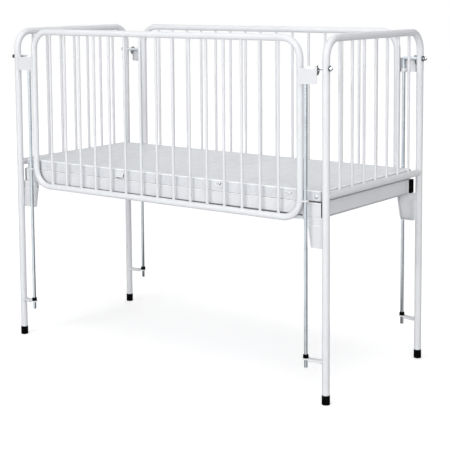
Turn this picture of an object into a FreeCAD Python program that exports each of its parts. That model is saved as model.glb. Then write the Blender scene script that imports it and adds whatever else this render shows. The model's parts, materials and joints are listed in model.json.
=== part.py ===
import FreeCAD, Part
import math
import os
import Sketcher
from FreeCAD import Placement, Rotation, Vector

# A child's hospital cot in welded steel tube. X runs along the cot, Y across it and Z up; the
# origin is on the floor under its middle. Each corner piece is drawn at the front right corner
# (+X, -Y) and mirrored to the other three.

SIZES = [
    # end frames
    ("leg_span_x", 1415, "leg axis to leg axis, along"),
    ("leg_span_y", 628, "leg axis to leg axis, across"),
    ("frame_height", 1213, "floor to the top of the end rails"),
    ("leg_dia", 25, "legs, end rails and end cross tubes"),
    ("leg_wall", 1.5, "wall of those tubes"),
    ("frame_bend", 66, "end frame corner, on the tube's axis"),
    ("cross_drop", 12.5, "deck surface down to the end cross tube's axis"),
    ("bar_dia", 10, "upright bars"),
    ("bar_wall", 1, "wall of the bars"),
    ("end_bar_count", 7, "bars in an end"),
    ("end_bar_pitch", 77, "bar to bar in an end"),
    # feet
    ("foot_wall", 1.5, "rubber beside the leg, at the floor"),
    ("foot_lip", 1.2, "rubber beside the leg, at the foot's mouth"),
    ("foot_height", 32, ""),
    ("foot_base", 5, "rubber under the leg"),
    # base frame
    ("base_top", 666, "floor to the top of the base tubes"),
    ("base_end_gap", 24, "leg axis to the base tube's end"),
    ("beam_height", 50, "rectangular base tube"),
    ("beam_width", 25, "rectangular base tube"),
    ("beam_wall", 1.5, "wall of the base tube"),
    ("beam_corner", 3, "outer corner of the base tube"),
    ("beam_setback", 2.5, "drop side tube to the base tube's face"),
    ("crossmember_inset", 5, "base tube's end to the crossmember's face"),
    ("plug_head", 5.5, "plug outside the tube"),
    ("plug_depth", 22, "plug inside the tube"),
    ("plug_wall", 2, ""),
    ("stiffener_inset", 61, "base tube's end to the cross stiffener"),
    ("stiffener_width", 66, ""),
    ("stiffener_height", 12, ""),
    ("stiffener_sheet", 2, ""),
    # corner brackets
    ("bracket_length", 64, "leg axis side edge to the bracket's wall, at the top"),
    ("bracket_taper", 12.5, "the wall leans back by this much"),
    ("bracket_drop", 102, "base tube down to the bracket's bottom"),
    ("bracket_straight", 28, "upright part, set back from the face below it"),
    ("bracket_step", 1.5, "the set-back"),
    ("bracket_depth", 14, ""),
    ("bracket_sheet", 2.5, ""),
    ("bracket_tab", 8, "face beyond the pan, welded to the leg"),
    ("bracket_round", 1.2, "edge of the face, less than the set-back"),
    ("bracket_bolt_drop", 20, "base tube down to the bolt in the wall"),
    ("bracket_bolt_dia", 5, ""),
    ("bracket_bolt_head", 10, ""),
    # deck tray
    ("tray_height", 37.5, ""),
    ("tray_setback", 0.5, "base tube's face to the tray's flange"),
    ("tray_end_setback", 1.5, "base tube's end to the tray's end"),
    ("tray_relief", 4.5, "flange raised off the base tube, at the right end"),
    ("tray_relief_run", 60, "length of that stretch"),
    ("tray_sheet", 1.5, ""),
    ("tray_corner", 9, ""),
    ("slot_length", 24, "slots in the tray's flange"),
    ("slot_width", 6, ""),
    ("slot_drop", 18.5, "deck surface to the slots and bolts"),
    ("slot_left", -190, "cot's middle to the left slots"),
    ("slot_middle", 267, "cot's middle to the middle slots"),
    ("slot_right", 556, "cot's middle to the right slots"),
    ("tray_bolt_inset", 17, "tray's end to its bolts"),
    ("tray_bolt_dia", 6, ""),
    ("tray_bolt_head", 13, ""),
    ("lug_sheet", 3, "lugs behind the tray's flange"),
    ("lug_jog", 14, "lug's foot behind its upper part"),
    # guide rods
    ("rod_dia", 12, ""),
    ("rod_inset", 71.5, "leg axis to the rod, along"),
    ("rod_offset", 10.5, "leg axis to the rod, across"),
    ("rod_drop", 109, "end rail's top down to the rod's hole in the leg"),
    ("rod_bend", 8, "bend on the rod's axis"),
    ("rod_end", 115, "floor to the rod's foot"),
    ("thread_dia", 10, "rod's threaded end, through the leg"),
    ("nut_flats", 16, "across flats"),
    ("nut_height", 6.5, ""),
    ("nut_dome", 13, "acorn nut's dome"),
    ("washer_dia", 20, ""),
    ("washer_height", 1.5, ""),
    ("fit", 0.05, "radial clearance of a bolt or rod in its hole"),
    ("arm_top", 147, "floor to the arm's upper face"),
    ("arm_sheet", 4, ""),
    ("arm_width", 22, ""),
    ("bumper_dia", 19, ""),
    ("bumper_height", 12.5, ""),
    ("bumper_round", 3.5, ""),
    # drop sides
    ("side_dia", 23, "drop side's outer tube"),
    ("side_wall", 1.5, ""),
    ("side_bend", 68, "drop side's corner, on the tube's axis"),
    ("side_drop", 8, "base tube's underside to the lower rail's axis"),
    ("rod_to_side", 25, "rod to the drop side's upright tube, along"),
    ("side_bar_count", 15, "bars in a drop side"),
    ("side_bar_pitch", 75, "bar to bar in a drop side"),
    ("eye_gap", 1, "radial clearance of an eye on its rod"),
    ("upper_eye_sheet", 2, "strap of the upper eye"),
    ("upper_eye_height", 13, ""),
    ("upper_eye_rise", 2, "latch plate's lower edge to the upper eye"),
    ("lower_eye_rise", 60.5, "lower rail's axis to the lower eye"),
    ("lower_eye_sheet", 5, "flat plate of the lower eye"),
    ("lower_eye_rim", 4, "steel round the lower eye's hole"),
    ("eye_foot", 14, "foot of the upper eye, welded to the plate"),
    ("plate_reach", 48, "rod to the latch plate's outer edge, along"),
    ("plate_height", 51, ""),
    ("plate_sheet", 2.5, ""),
    ("plate_corner", 6, ""),
    ("ear_height", 10, "latch ear above the plate"),
    ("ear_width", 10, ""),
    ("hook_drop", 22, "latch flange below the rod's axis"),
    ("hook_depth", 16, "latch flange under the rod"),
    ("hook_clear", 1.2, "latch flange to the rod it passes"),
]

os.makedirs("parts", exist_ok=True)
doc = FreeCAD.newDocument("cot")
sheet = doc.addObject("Spreadsheet::Sheet", "Dims")
for row, (alias, size, note) in enumerate(SIZES, 1):
    sheet.set(f"A{row}", alias)
    sheet.set(f"B{row}", str(size))
    sheet.set(f"C{row}", note)
    sheet.setAlias(f"B{row}", alias)
doc.recompute()

# Places worked out from the sizes, each as an expression on the sheet.
LEG_X = "Dims.leg_span_x / 2"
LEG_Y = "Dims.leg_span_y / 2"
LEG_R = "Dims.leg_dia / 2"
RAIL_Z = "(Dims.frame_height - Dims.leg_dia / 2)"
DECK_Z = "(Dims.base_top + Dims.tray_height)"
CROSS_Z = f"({DECK_Z} - Dims.cross_drop)"
BEAM_BOTTOM = "(Dims.base_top - Dims.beam_height)"
BASE_X = f"({LEG_X} - Dims.base_end_gap)"
ROD_X = f"({LEG_X} - Dims.rod_inset)"
ROD_Y = f"({LEG_Y} + Dims.rod_offset)"
ROD_Z = "(Dims.frame_height - Dims.rod_drop)"
ROD_R = "Dims.rod_dia / 2"
ROD_RUN = "sqrt(Dims.rod_inset ^ 2 + Dims.rod_offset ^ 2)"
ROD_TURN = "atan(Dims.rod_offset / Dims.rod_inset)"
SIDE_R = "Dims.side_dia / 2"
SIDE_X = f"({ROD_X} - Dims.rod_to_side)"
PLATE_Y = f"({ROD_Y} + {ROD_R} + Dims.eye_gap)"
SIDE_Y = f"({PLATE_Y} - {SIDE_R})"
SIDE_TOP = RAIL_Z
SIDE_BOTTOM = f"({BEAM_BOTTOM} - Dims.side_drop)"
BEAM_Y = f"({SIDE_Y} - {SIDE_R} - Dims.beam_setback)"
TRAY_Y = f"({BEAM_Y} - Dims.tray_setback)"
TRAY_X = f"({BASE_X} - Dims.tray_end_setback)"
SLOT_Z = f"({DECK_Z} - Dims.slot_drop)"
EYE_IN = f"({ROD_R} + Dims.eye_gap)"
PLATE_BOTTOM = f"({ROD_Z} - Dims.plate_height)"
PLATE_X = f"({ROD_X} + Dims.plate_reach)"

nodes = []


def num(expression):
    return float(sheet.evalExpression(expression))


def node(thing, label):
    """Names a finished sub-part; the label is its file's name."""
    thing.Label = label
    nodes.append(thing)
    return thing


def bind(thing, **sizes):
    """Binds properties to expressions; a double underscore stands for a dot."""
    for prop, expression in sizes.items():
        thing.setExpression(prop.replace("__", "."), expression)
    return thing


def make(kind, name, **sizes):
    return bind(doc.addObject(kind, name), **sizes)


def body(name, many=False):
    made = doc.addObject("PartDesign::Body", name)
    made.AllowCompound = many
    return made


def origin_of(owner, role):
    return next(f for f in owner.Origin.OriginFeatures if f.Role == role)


def sketch(owner, name, plane="XY_Plane", offset=None):
    made = owner.newObject("Sketcher::SketchObject", name)
    made.AttachmentSupport = [(origin_of(owner, plane), "")]
    made.MapMode = "FlatFace"
    if offset:
        made.setExpression("AttachmentOffset.Base.z", offset)
    return made


def drive(drawing, constraint, expression):
    index = drawing.addConstraint(constraint)
    drawing.setExpression(f"Constraints[{index}]", expression)


def pin(drawing, geometry, point, axis, expression):
    """Holds one coordinate of a point at an expression."""
    held = Sketcher.Constraint(f"Distance{axis}", -1, 1, geometry, point, num(expression))
    drive(drawing, held, expression)


def spot(u, v):
    return Vector(num(u), num(v), 0)


def circle(drawing, u, v, radius):
    ring = Part.Circle(spot(u, v), Vector(0, 0, 1), num(radius))
    made = drawing.addGeometry(ring, False)
    drive(drawing, Sketcher.Constraint("Radius", made, num(radius)), radius)
    pin(drawing, made, 3, "X", u)
    pin(drawing, made, 3, "Y", v)


def polygon(drawing, corners):
    """Closed outline of straight edges through corners given as expressions."""
    spots = [spot(u, v) for u, v in corners]
    count = len(spots)
    edges = []
    for i in range(count):
        edges.append(drawing.addGeometry(Part.LineSegment(spots[i], spots[(i + 1) % count]), False))
    for i in range(count):
        drawing.addConstraint(Sketcher.Constraint("Coincident", edges[i - 1], 2, edges[i], 1))
        pin(drawing, edges[i], 1, "X", corners[i][0])
        pin(drawing, edges[i], 1, "Y", corners[i][1])


def rounded(drawing, corners, bend, closed=True):
    """Outline of level and upright edges joined by tangent arcs of one radius."""
    spots = [spot(u, v) for u, v in corners]
    radius = num(bend)
    count = len(spots)
    runs = count if closed else count - 1
    ways = [(spots[(i + 1) % count] - spots[i]).normalize() for i in range(runs)]
    lines = []
    for i in range(runs):
        start = spots[i] + ways[i] * (radius if closed or i > 0 else 0)
        end = spots[(i + 1) % count] - ways[i] * (radius if closed or i < runs - 1 else 0)
        lines.append(drawing.addGeometry(Part.LineSegment(start, end), False))
    for i, line in enumerate(lines):
        level = abs(ways[i].x) > 0.5
        drawing.addConstraint(Sketcher.Constraint("Horizontal" if level else "Vertical", line))
        pin(drawing, line, 1, "Y" if level else "X", corners[i][1 if level else 0])
    first = None
    for i in range(0 if closed else 1, runs):
        way_in, way_out = ways[i - 1], ways[i]
        centre = spots[i] - way_in * radius + way_out * radius
        left = way_in.x * way_out.y - way_in.y * way_out.x > 0
        angles = [math.atan2(-way_out.y, -way_out.x), math.atan2(way_in.y, way_in.x)]
        if not left:
            angles.reverse()
        bend_circle = Part.Circle(centre, Vector(0, 0, 1), radius)
        arc = drawing.addGeometry(Part.ArcOfCircle(bend_circle, *angles), False)
        enter, leave = (1, 2) if left else (2, 1)
        drawing.addConstraint(Sketcher.Constraint("Tangent", lines[i - 1], 2, arc, enter))
        drawing.addConstraint(Sketcher.Constraint("Tangent", arc, leave, lines[i], 1))
        if first is None:
            first = arc
            drive(drawing, Sketcher.Constraint("Radius", arc, radius), bend)
        else:
            drawing.addConstraint(Sketcher.Constraint("Equal", first, arc))
    if not closed:
        ends = ((lines[0], 1, corners[0], ways[0]), (lines[-1], 2, corners[-1], ways[-1]))
        for line, point, corner, way in ends:
            level = abs(way.x) > 0.5
            pin(drawing, line, point, "X" if level else "Y", corner[0 if level else 1])


def box_corners(low_u, high_u, low_v, high_v):
    return [(low_u, low_v), (high_u, low_v), (high_u, high_v), (low_u, high_v)]


def pad(owner, name, drawing, length, reverse=False, both=False):
    made = owner.newObject("PartDesign::Pad", name)
    made.Profile = drawing
    made.Reversed = reverse
    made.Midplane = both
    made.setExpression("Length", length)
    return made


def pocket(owner, name, drawing, depth, reverse=False, both=False):
    made = owner.newObject("PartDesign::Pocket", name)
    made.Profile = drawing
    made.Reversed = reverse
    made.Midplane = both
    made.setExpression("Length", depth)
    return made


def pipe(owner, name, kind, section, route):
    made = owner.newObject(f"PartDesign::{kind}Pipe", name)
    made.Profile = section
    made.Spine = route
    return made


def fillet(owner, name, base, radius, wanted):
    """Rounds the edges of a feature that the test picks."""
    doc.recompute()
    picked = [f"Edge{i}" for i, edge in enumerate(base.Shape.Edges, 1) if wanted(edge)]
    made = owner.newObject("PartDesign::Fillet", name)
    made.Base = (base, picked)
    made.setExpression("Radius", radius)
    return made


def straight_row(owner, name, feature, axis, length, count):
    """Repeats a feature in a row, from its place along an axis."""
    doc.recompute()
    made = owner.newObject("PartDesign::LinearPattern", name)
    made.Originals = [feature]
    made.Direction = (origin_of(owner, axis), [""])
    made.setExpression("Length", length)
    made.setExpression("Occurrences", count)
    owner.Tip = made
    return made


def cut(name, base, tool):
    made = doc.addObject("Part::Cut", name)
    made.Base = base
    made.Tool = tool
    return made


def fuse(name, *shapes):
    made = doc.addObject("Part::MultiFuse", name)
    made.Shapes = list(shapes)
    return made


def cylinder(name, radius, height, x="0", y="0", z="0", axis=None, turn=0):
    """Round bar with its foot at x, y, z, turned from +Z about an axis."""
    made = doc.addObject("Part::Cylinder", name)
    if axis:
        made.Placement = Placement(Vector(), Rotation(axis, turn))
    return bind(made, Radius=radius, Height=height, Placement__Base__x=x, Placement__Base__y=y,
                Placement__Base__z=z)


def mirrored(source, label, across_x):
    made = doc.addObject("Part::Mirroring", label)
    made.Source = source
    made.Normal = (1, 0, 0) if across_x else (0, 1, 0)
    return node(made, label)


def four_corners(front_right, label):
    """Names the front right piece and mirrors it to the other corners."""
    node(front_right, f"{label}_front_right")
    front_left = mirrored(front_right, f"{label}_front_left", True)
    mirrored(front_right, f"{label}_rear_right", False)
    mirrored(front_left, f"{label}_rear_left", False)


def grouped_corners(front_right, label):
    """One node of four like pieces, one at each corner."""
    left = doc.addObject("Part::Mirroring", f"{label}_left")
    left.Source = front_right
    left.Normal = (1, 0, 0)
    pair = doc.addObject("Part::Compound", f"{label}_pair")
    pair.Links = [front_right, left]
    rear = doc.addObject("Part::Mirroring", f"{label}_rear")
    rear.Source = pair
    rear.Normal = (0, 1, 0)
    group = doc.addObject("Part::Compound", label)
    group.Links = [pair, rear]
    return node(group, label)


def end_rod_holes():
    """Cylinders that clear the guide rods through both legs of the right end."""
    tools = []
    for name, side in (("front", -1), ("rear", 1)):
        hole = doc.addObject("Part::Cylinder", f"rod_hole_{name}")
        lean = math.degrees(math.atan2(num("Dims.rod_offset"), num("Dims.rod_inset")))
        level = Rotation(Vector(0, 1, 0), 90)
        hole.Placement = Placement(Vector(), Rotation(Vector(0, 0, 1), -side * lean) * level)
        reach = "Dims.leg_dia"
        sign = "-" if side < 0 else ""
        bind(hole, Radius="Dims.thread_dia / 2 + Dims.fit", Height=f"2 * {reach}")
        bind(hole, Placement__Base__x=f"{LEG_X} - {reach} * cos({ROD_TURN})")
        bind(hole, Placement__Base__y=f"{sign}{LEG_Y} + {side} * {reach} * sin({ROD_TURN})")
        bind(hole, Placement__Base__z=ROD_Z)
        tools.append(hole)
    return fuse("rod_holes", *tools)


def end_frame():
    """Legs and top rail bent from one tube, with the rod holes."""
    bent = body("end_tube")
    bent.setExpression("Placement.Base.x", LEG_X)
    route = sketch(bent, "end_route", "YZ_Plane")
    low = "Dims.foot_base"
    rounded(route, [(f"-{LEG_Y}", low), (f"-{LEG_Y}", RAIL_Z), (LEG_Y, RAIL_Z), (LEG_Y, low)],
            "Dims.frame_bend", closed=False)
    section = sketch(bent, "end_section", "XY_Plane", low)
    circle(section, "0", f"-{LEG_Y}", LEG_R)
    circle(section, "0", f"-{LEG_Y}", f"{LEG_R} - Dims.leg_wall")
    pipe(bent, "end_pipe", "Additive", section, route)
    right = node(cut("end_frame", bent, end_rod_holes()), "end_frame_right")
    mirrored(right, "end_frame_left", True)


def legs(name):
    """Solid bars in the place of the right end's legs, for coping what meets them."""
    low = cylinder(f"{name}_front", LEG_R, RAIL_Z, LEG_X, f"-{LEG_Y}")
    high = cylinder(f"{name}_rear", LEG_R, RAIL_Z, LEG_X, LEG_Y)
    return fuse(name, low, high)


def end_cross_tube():
    """Level tube between the legs at deck height, coped to them."""
    along = Vector(1, 0, 0)
    outer = cylinder("cross_outer", LEG_R, "Dims.leg_span_y", LEG_X, LEG_Y, CROSS_Z, along, 90)
    bore = cylinder("cross_bore", f"{LEG_R} - Dims.leg_wall", "Dims.leg_span_y", LEG_X, LEG_Y, CROSS_Z, along,
                    90)
    tube = cut("cross_hollow", outer, bore)
    right = node(cut("cross_tube", tube, legs("cross_cope")), "end_cross_tube_right")
    mirrored(right, "end_cross_tube_left", True)


def end_bars():
    """Upright bars between the end's top rail and its cross tube, coped to both."""
    run = "((Dims.end_bar_count - 1) * Dims.end_bar_pitch)"
    row = body("end_bar_row", many=True)
    section = sketch(row, "end_bar_section", "XY_Plane", CROSS_Z)
    for radius in ("Dims.bar_dia / 2", "Dims.bar_dia / 2 - Dims.bar_wall"):
        circle(section, LEG_X, f"-{run} / 2", radius)
    bar = pad(row, "end_bar", section, f"{RAIL_Z} - {CROSS_Z}")
    straight_row(row, "end_bar_pattern", bar, "Y_Axis", run, "Dims.end_bar_count")
    along = Vector(1, 0, 0)
    rails = [cylinder("end_rail_cope", LEG_R, "Dims.leg_span_y", LEG_X, LEG_Y, RAIL_Z, along, 90),
             cylinder("cross_tube_cope", LEG_R, "Dims.leg_span_y", LEG_X, LEG_Y, CROSS_Z, along, 90)]
    right = node(cut("end_bars", row, fuse("end_bar_cope", *rails)), "end_bars_right")
    mirrored(right, "end_bars_left", True)


def foot():
    """Rubber ferrule pushed on the leg."""
    made = body("foot")
    bind(made, Placement__Base__x=LEG_X, Placement__Base__y=f"-{LEG_Y}")
    half = sketch(made, "foot_half", "XZ_Plane")
    mouth = (f"{LEG_R} + Dims.foot_lip", "Dims.foot_height")
    polygon(half, [("0", "0"), (f"{LEG_R} + Dims.foot_wall", "0"), mouth, (LEG_R, "Dims.foot_height"),
                   (LEG_R, "Dims.foot_base"), ("0", "Dims.foot_base")])
    turned = made.newObject("PartDesign::Revolution", "foot_turned")
    turned.Profile = half
    turned.ReferenceAxis = (origin_of(made, "Z_Axis"), [""])
    turned.Angle = 360
    four_corners(made, "foot")


def base_beam():
    """Rectangular tube along the cot under the deck."""
    made = body("beam")
    section = sketch(made, "beam_section", "YZ_Plane")
    inner_y = f"-{BEAM_Y} + Dims.beam_width"
    rounded(section, box_corners(f"-{BEAM_Y}", inner_y, BEAM_BOTTOM, "Dims.base_top"), "Dims.beam_corner")
    wall = "Dims.beam_wall"
    rounded(section, box_corners(f"-{BEAM_Y} + {wall}", f"{inner_y} - {wall}", f"{BEAM_BOTTOM} + {wall}",
                                 f"Dims.base_top - {wall}"), f"Dims.beam_corner - {wall}")
    pad(made, "beam_pad", section, f"2 * {BASE_X}", both=True)
    front = node(made, "base_beam_front")
    mirrored(front, "base_beam_rear", False)


def crossmember():
    """Rectangular tube across the cot between the base beams."""
    made = body("crossmember")
    section = sketch(made, "crossmember_section", "XZ_Plane")
    outer_x = f"({BASE_X} - Dims.crossmember_inset)"
    inner_x = f"({outer_x} - Dims.beam_width)"
    wall = "Dims.beam_wall"
    rounded(section, box_corners(inner_x, outer_x, BEAM_BOTTOM, "Dims.base_top"), "Dims.beam_corner")
    rounded(section, box_corners(f"{inner_x} + {wall}", f"{outer_x} - {wall}", f"{BEAM_BOTTOM} + {wall}",
                                 f"Dims.base_top - {wall}"), f"Dims.beam_corner - {wall}")
    pad(made, "crossmember_pad", section, f"2 * ({BEAM_Y} - Dims.beam_width)", both=True)
    right = node(made, "crossmember_right")
    mirrored(right, "crossmember_left", True)


def cross_stiffener():
    """Shallow pressed pan welded under both beams."""
    made = body("stiffener")
    high_x = f"({BASE_X} - Dims.stiffener_inset)"
    low_x = f"({high_x} - Dims.stiffener_width)"
    side_y = f"({BEAM_Y} - Dims.stiffener_sheet)"
    wall = "Dims.stiffener_sheet"
    outline = sketch(made, "stiffener_outline", "XY_Plane", f"{BEAM_BOTTOM} - Dims.stiffener_height")
    polygon(outline, box_corners(low_x, high_x, f"-{side_y}", side_y))
    pad(made, "stiffener_block", outline, "Dims.stiffener_height")
    hollow = sketch(made, "stiffener_hollow_outline", "XY_Plane", BEAM_BOTTOM)
    polygon(hollow, box_corners(f"{low_x} + {wall}", f"{high_x} - {wall}", f"-{side_y} + {wall}",
                                f"{side_y} - {wall}"))
    pocket(made, "stiffener_hollow", hollow, f"Dims.stiffener_height - {wall}")
    right = node(made, "cross_stiffener_right")
    mirrored(right, "cross_stiffener_left", True)


def beam_plug():
    """Plastic plug in the open end of a base beam."""
    made = body("plug")
    near_y, far_y = f"-{BEAM_Y}", f"-{BEAM_Y} + Dims.beam_width"
    wall, lip = "Dims.beam_wall", "Dims.plug_wall"
    head = sketch(made, "plug_head_outline", "YZ_Plane", BASE_X)
    rounded(head, box_corners(near_y, far_y, BEAM_BOTTOM, "Dims.base_top"), "Dims.beam_corner")
    top = pad(made, "plug_head", head, "Dims.plug_head")
    shank = sketch(made, "plug_shank_outline", "YZ_Plane", BASE_X)
    for inset, corner in ((wall, f"Dims.beam_corner - {wall}"), (f"({wall} + {lip})", "Dims.beam_corner / 6")):
        rounded(shank, box_corners(f"{near_y} + {inset}", f"{far_y} - {inset}", f"{BEAM_BOTTOM} + {inset}",
                                   f"Dims.base_top - {inset}"), corner)
    pad(made, "plug_shank", shank, "Dims.plug_depth", reverse=True)
    doc.recompute()
    outer_x = num(f"{BASE_X} + Dims.plug_head")
    fillet(made, "plug_round", made.Tip, "Dims.plug_head / 3",
           lambda edge: abs(edge.BoundBox.XMin - outer_x) < 0.01 and abs(edge.BoundBox.XMax - outer_x) < 0.01)
    four_corners(made, "beam_plug")


def bracket():
    """Pressed pan welded under the beam's end and to the leg."""
    made = body("bracket_pan")
    sheet_t = "Dims.bracket_sheet"
    wall_x = f"({LEG_X} - {LEG_R} - Dims.bracket_length)"
    foot_x = f"({wall_x} + Dims.bracket_taper)"
    bend_z = f"({BEAM_BOTTOM} - Dims.bracket_straight)"
    foot_z = f"({BEAM_BOTTOM} - Dims.bracket_drop)"
    pan_x = f"({LEG_X} - {LEG_R} - {sheet_t})"
    tab_x = f"({LEG_X} - {LEG_R} + Dims.bracket_tab)"
    outline = sketch(made, "bracket_outline", "XZ_Plane", BEAM_Y)
    polygon(outline, [(wall_x, BEAM_BOTTOM), (wall_x, bend_z), (foot_x, foot_z), (tab_x, foot_z),
                      (tab_x, BEAM_BOTTOM)])
    pad(made, "bracket_block", outline, "Dims.bracket_depth", reverse=True)
    inner_y = f"({BEAM_Y} - Dims.bracket_depth)"
    hollow = sketch(made, "bracket_hollow_outline", "XZ_Plane", inner_y)
    top_z = f"({BEAM_BOTTOM} - {sheet_t})"
    low_z = f"{foot_z} + {sheet_t}"
    polygon(hollow, [(f"{wall_x} + {sheet_t}", top_z), (f"{wall_x} + {sheet_t}", bend_z),
                     (f"{foot_x} + {sheet_t}", low_z), (f"{pan_x} - {sheet_t}", low_z),
                     (f"{pan_x} - {sheet_t}", top_z)])
    hollow_depth = f"(Dims.bracket_depth - {sheet_t} - Dims.bracket_step)"
    pocket(made, "bracket_hollow", hollow, hollow_depth, reverse=True)
    beside = sketch(made, "bracket_tab_outline", "XZ_Plane", inner_y)
    polygon(beside, box_corners(pan_x, f"{tab_x} + 1", f"{foot_z} - 1", f"{BEAM_BOTTOM} + 1"))
    pocket(made, "bracket_tab", beside, hollow_depth, reverse=True)
    above = sketch(made, "bracket_upper_outline", "XZ_Plane", inner_y)
    polygon(above, box_corners(BASE_X, f"{tab_x} + 1", bend_z, f"{BEAM_BOTTOM} + 1"))
    pocket(made, "bracket_upper", above, "Dims.bracket_depth", reverse=True)
    front = sketch(made, "bracket_step_outline", "XZ_Plane", BEAM_Y)
    polygon(front, box_corners(f"{wall_x} - 1", f"{tab_x} + 1", bend_z, f"{BEAM_BOTTOM} + 1"))
    last = pocket(made, "bracket_step", front, "Dims.bracket_step")
    doc.recompute()
    face_y, edge_x = -num(BEAM_Y), num(tab_x)
    top = num(bend_z)

    def pressed(edge):
        box = edge.BoundBox
        flat = abs(box.YMin - face_y) < 0.01 and abs(box.YMax - face_y) < 0.01
        return flat and box.XMin < edge_x - 0.01 and box.ZMin < top - 0.01

    fillet(made, "bracket_round_edge", last, "Dims.bracket_round", pressed)
    hole = cylinder("bracket_hole", "Dims.bracket_bolt_dia / 2 + Dims.fit", "2 * Dims.bracket_sheet + 1",
                    f"{wall_x} - Dims.bracket_sheet", BRACKET_BOLT_Y, BRACKET_BOLT_Z, Vector(0, 1, 0), 90)
    cope = cylinder("bracket_cope", LEG_R, RAIL_Z, LEG_X, f"-{LEG_Y}")
    four_corners(cut("bracket", made, fuse("bracket_tools", hole, cope)), "corner_bracket")


BRACKET_BOLT_Y = f"-({BEAM_Y} - Dims.bracket_step - Dims.bracket_sheet - Dims.bracket_bolt_dia)"
BRACKET_BOLT_Z = f"({BEAM_BOTTOM} - Dims.bracket_bolt_drop)"


def small_bolt(name, clamped, dia, head):
    """Round-headed bolt along +Z through a stack, with its nut. Its head's underside is at z = 0."""
    dome = make("Part::Sphere", f"{name}_dome", Radius=f"{head} * 0.625", Placement__Base__z=f"{head} * 0.375")
    under = make("Part::Box", f"{name}_under", Length=f"2 * {head}", Width=f"2 * {head}", Height=head,
                 Placement__Base__x=f"-{head}", Placement__Base__y=f"-{head}")
    cap = cut(f"{name}_head", dome, under)
    nut = make("Part::Prism", f"{name}_nut", Circumradius=f"{dia} * 0.95", Height=f"{dia} * 0.8",
               Placement__Base__z=clamped)
    nut.Polygon = 6
    threaded = cut(f"{name}_thread", nut, cylinder(f"{name}_bore", f"{dia} / 2", f"{dia}", z=clamped))
    shank = cylinder(f"{name}_shank", f"{dia} / 2", f"{clamped} + {dia}")
    return cap, threaded, shank


def placed_bolt(label, kind, clamped, place, turn):
    """A bolt and its nut, turned from +Z and put in its place."""
    cap, nut, shank = small_bolt(label, clamped, f"Dims.{kind}_dia", f"Dims.{kind}_head")
    screw = fuse(f"{label}_screw", cap, shank)
    pair = doc.addObject("Part::Compound", f"{label}_one")
    pair.Links = [screw, nut]
    pair.Placement = Placement(Vector(), turn)
    bind(pair, Placement__Base__x=place[0], Placement__Base__y=place[1], Placement__Base__z=place[2])
    return pair


def tray():
    """Sheet deck with its edges turned down, slotted along both sides."""
    made = body("tray")
    outline = sketch(made, "tray_outline", "XY_Plane", "Dims.base_top")
    rounded(outline, box_corners(f"-{TRAY_X}", TRAY_X, f"-{TRAY_Y}", TRAY_Y), "Dims.tray_corner")
    pad(made, "tray_block", outline, "Dims.tray_height")
    inner = sketch(made, "tray_hollow_outline", "XY_Plane", "Dims.base_top")
    t = "Dims.tray_sheet"
    rounded(inner, box_corners(f"-{TRAY_X} + {t}", f"{TRAY_X} - {t}", f"-{TRAY_Y} + {t}", f"{TRAY_Y} - {t}"),
            f"Dims.tray_corner - {t}")
    hollow = pocket(made, "tray_hollow", inner, f"Dims.tray_height - {t}", reverse=True)
    doc.recompute()
    deck = num(DECK_Z)
    fillet(made, "tray_round", hollow, t,
           lambda edge: abs(edge.BoundBox.ZMin - deck) < 0.01 and abs(edge.BoundBox.ZMax - deck) < 0.01)
    holes = sketch(made, "tray_holes", "XZ_Plane")
    half = "(Dims.slot_length / 2)"
    low_z, high_z = f"{SLOT_Z} - Dims.slot_width / 2", f"{SLOT_Z} + Dims.slot_width / 2"
    for middle in ("Dims.slot_left", "Dims.slot_middle", "Dims.slot_right"):
        rounded(holes, box_corners(f"{middle} - {half}", f"{middle} + {half}", low_z, high_z),
                "Dims.slot_width / 2.2")
    for place in TRAY_BOLTS:
        circle(holes, place, SLOT_Z, "Dims.tray_bolt_dia / 2 + Dims.fit")
    pocket(made, "tray_slots", holes, f"2 * {TRAY_Y} + 10", both=True)
    raised = sketch(made, "tray_relief_outline", "XZ_Plane")
    polygon(raised, box_corners(f"{TRAY_X} - Dims.tray_relief_run", f"{TRAY_X} + 1", "Dims.base_top - 1",
                                "Dims.base_top + Dims.tray_relief"))
    pocket(made, "tray_relief_cut", raised, f"2 * {TRAY_Y} + 10", both=True)
    node(made, "deck_tray")


TRAY_BOLTS = [f"({TRAY_X} - Dims.tray_bolt_inset)", f"(-{TRAY_X} + Dims.tray_bolt_inset)"]
LUG_SHEET = "Dims.lug_sheet"


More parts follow.
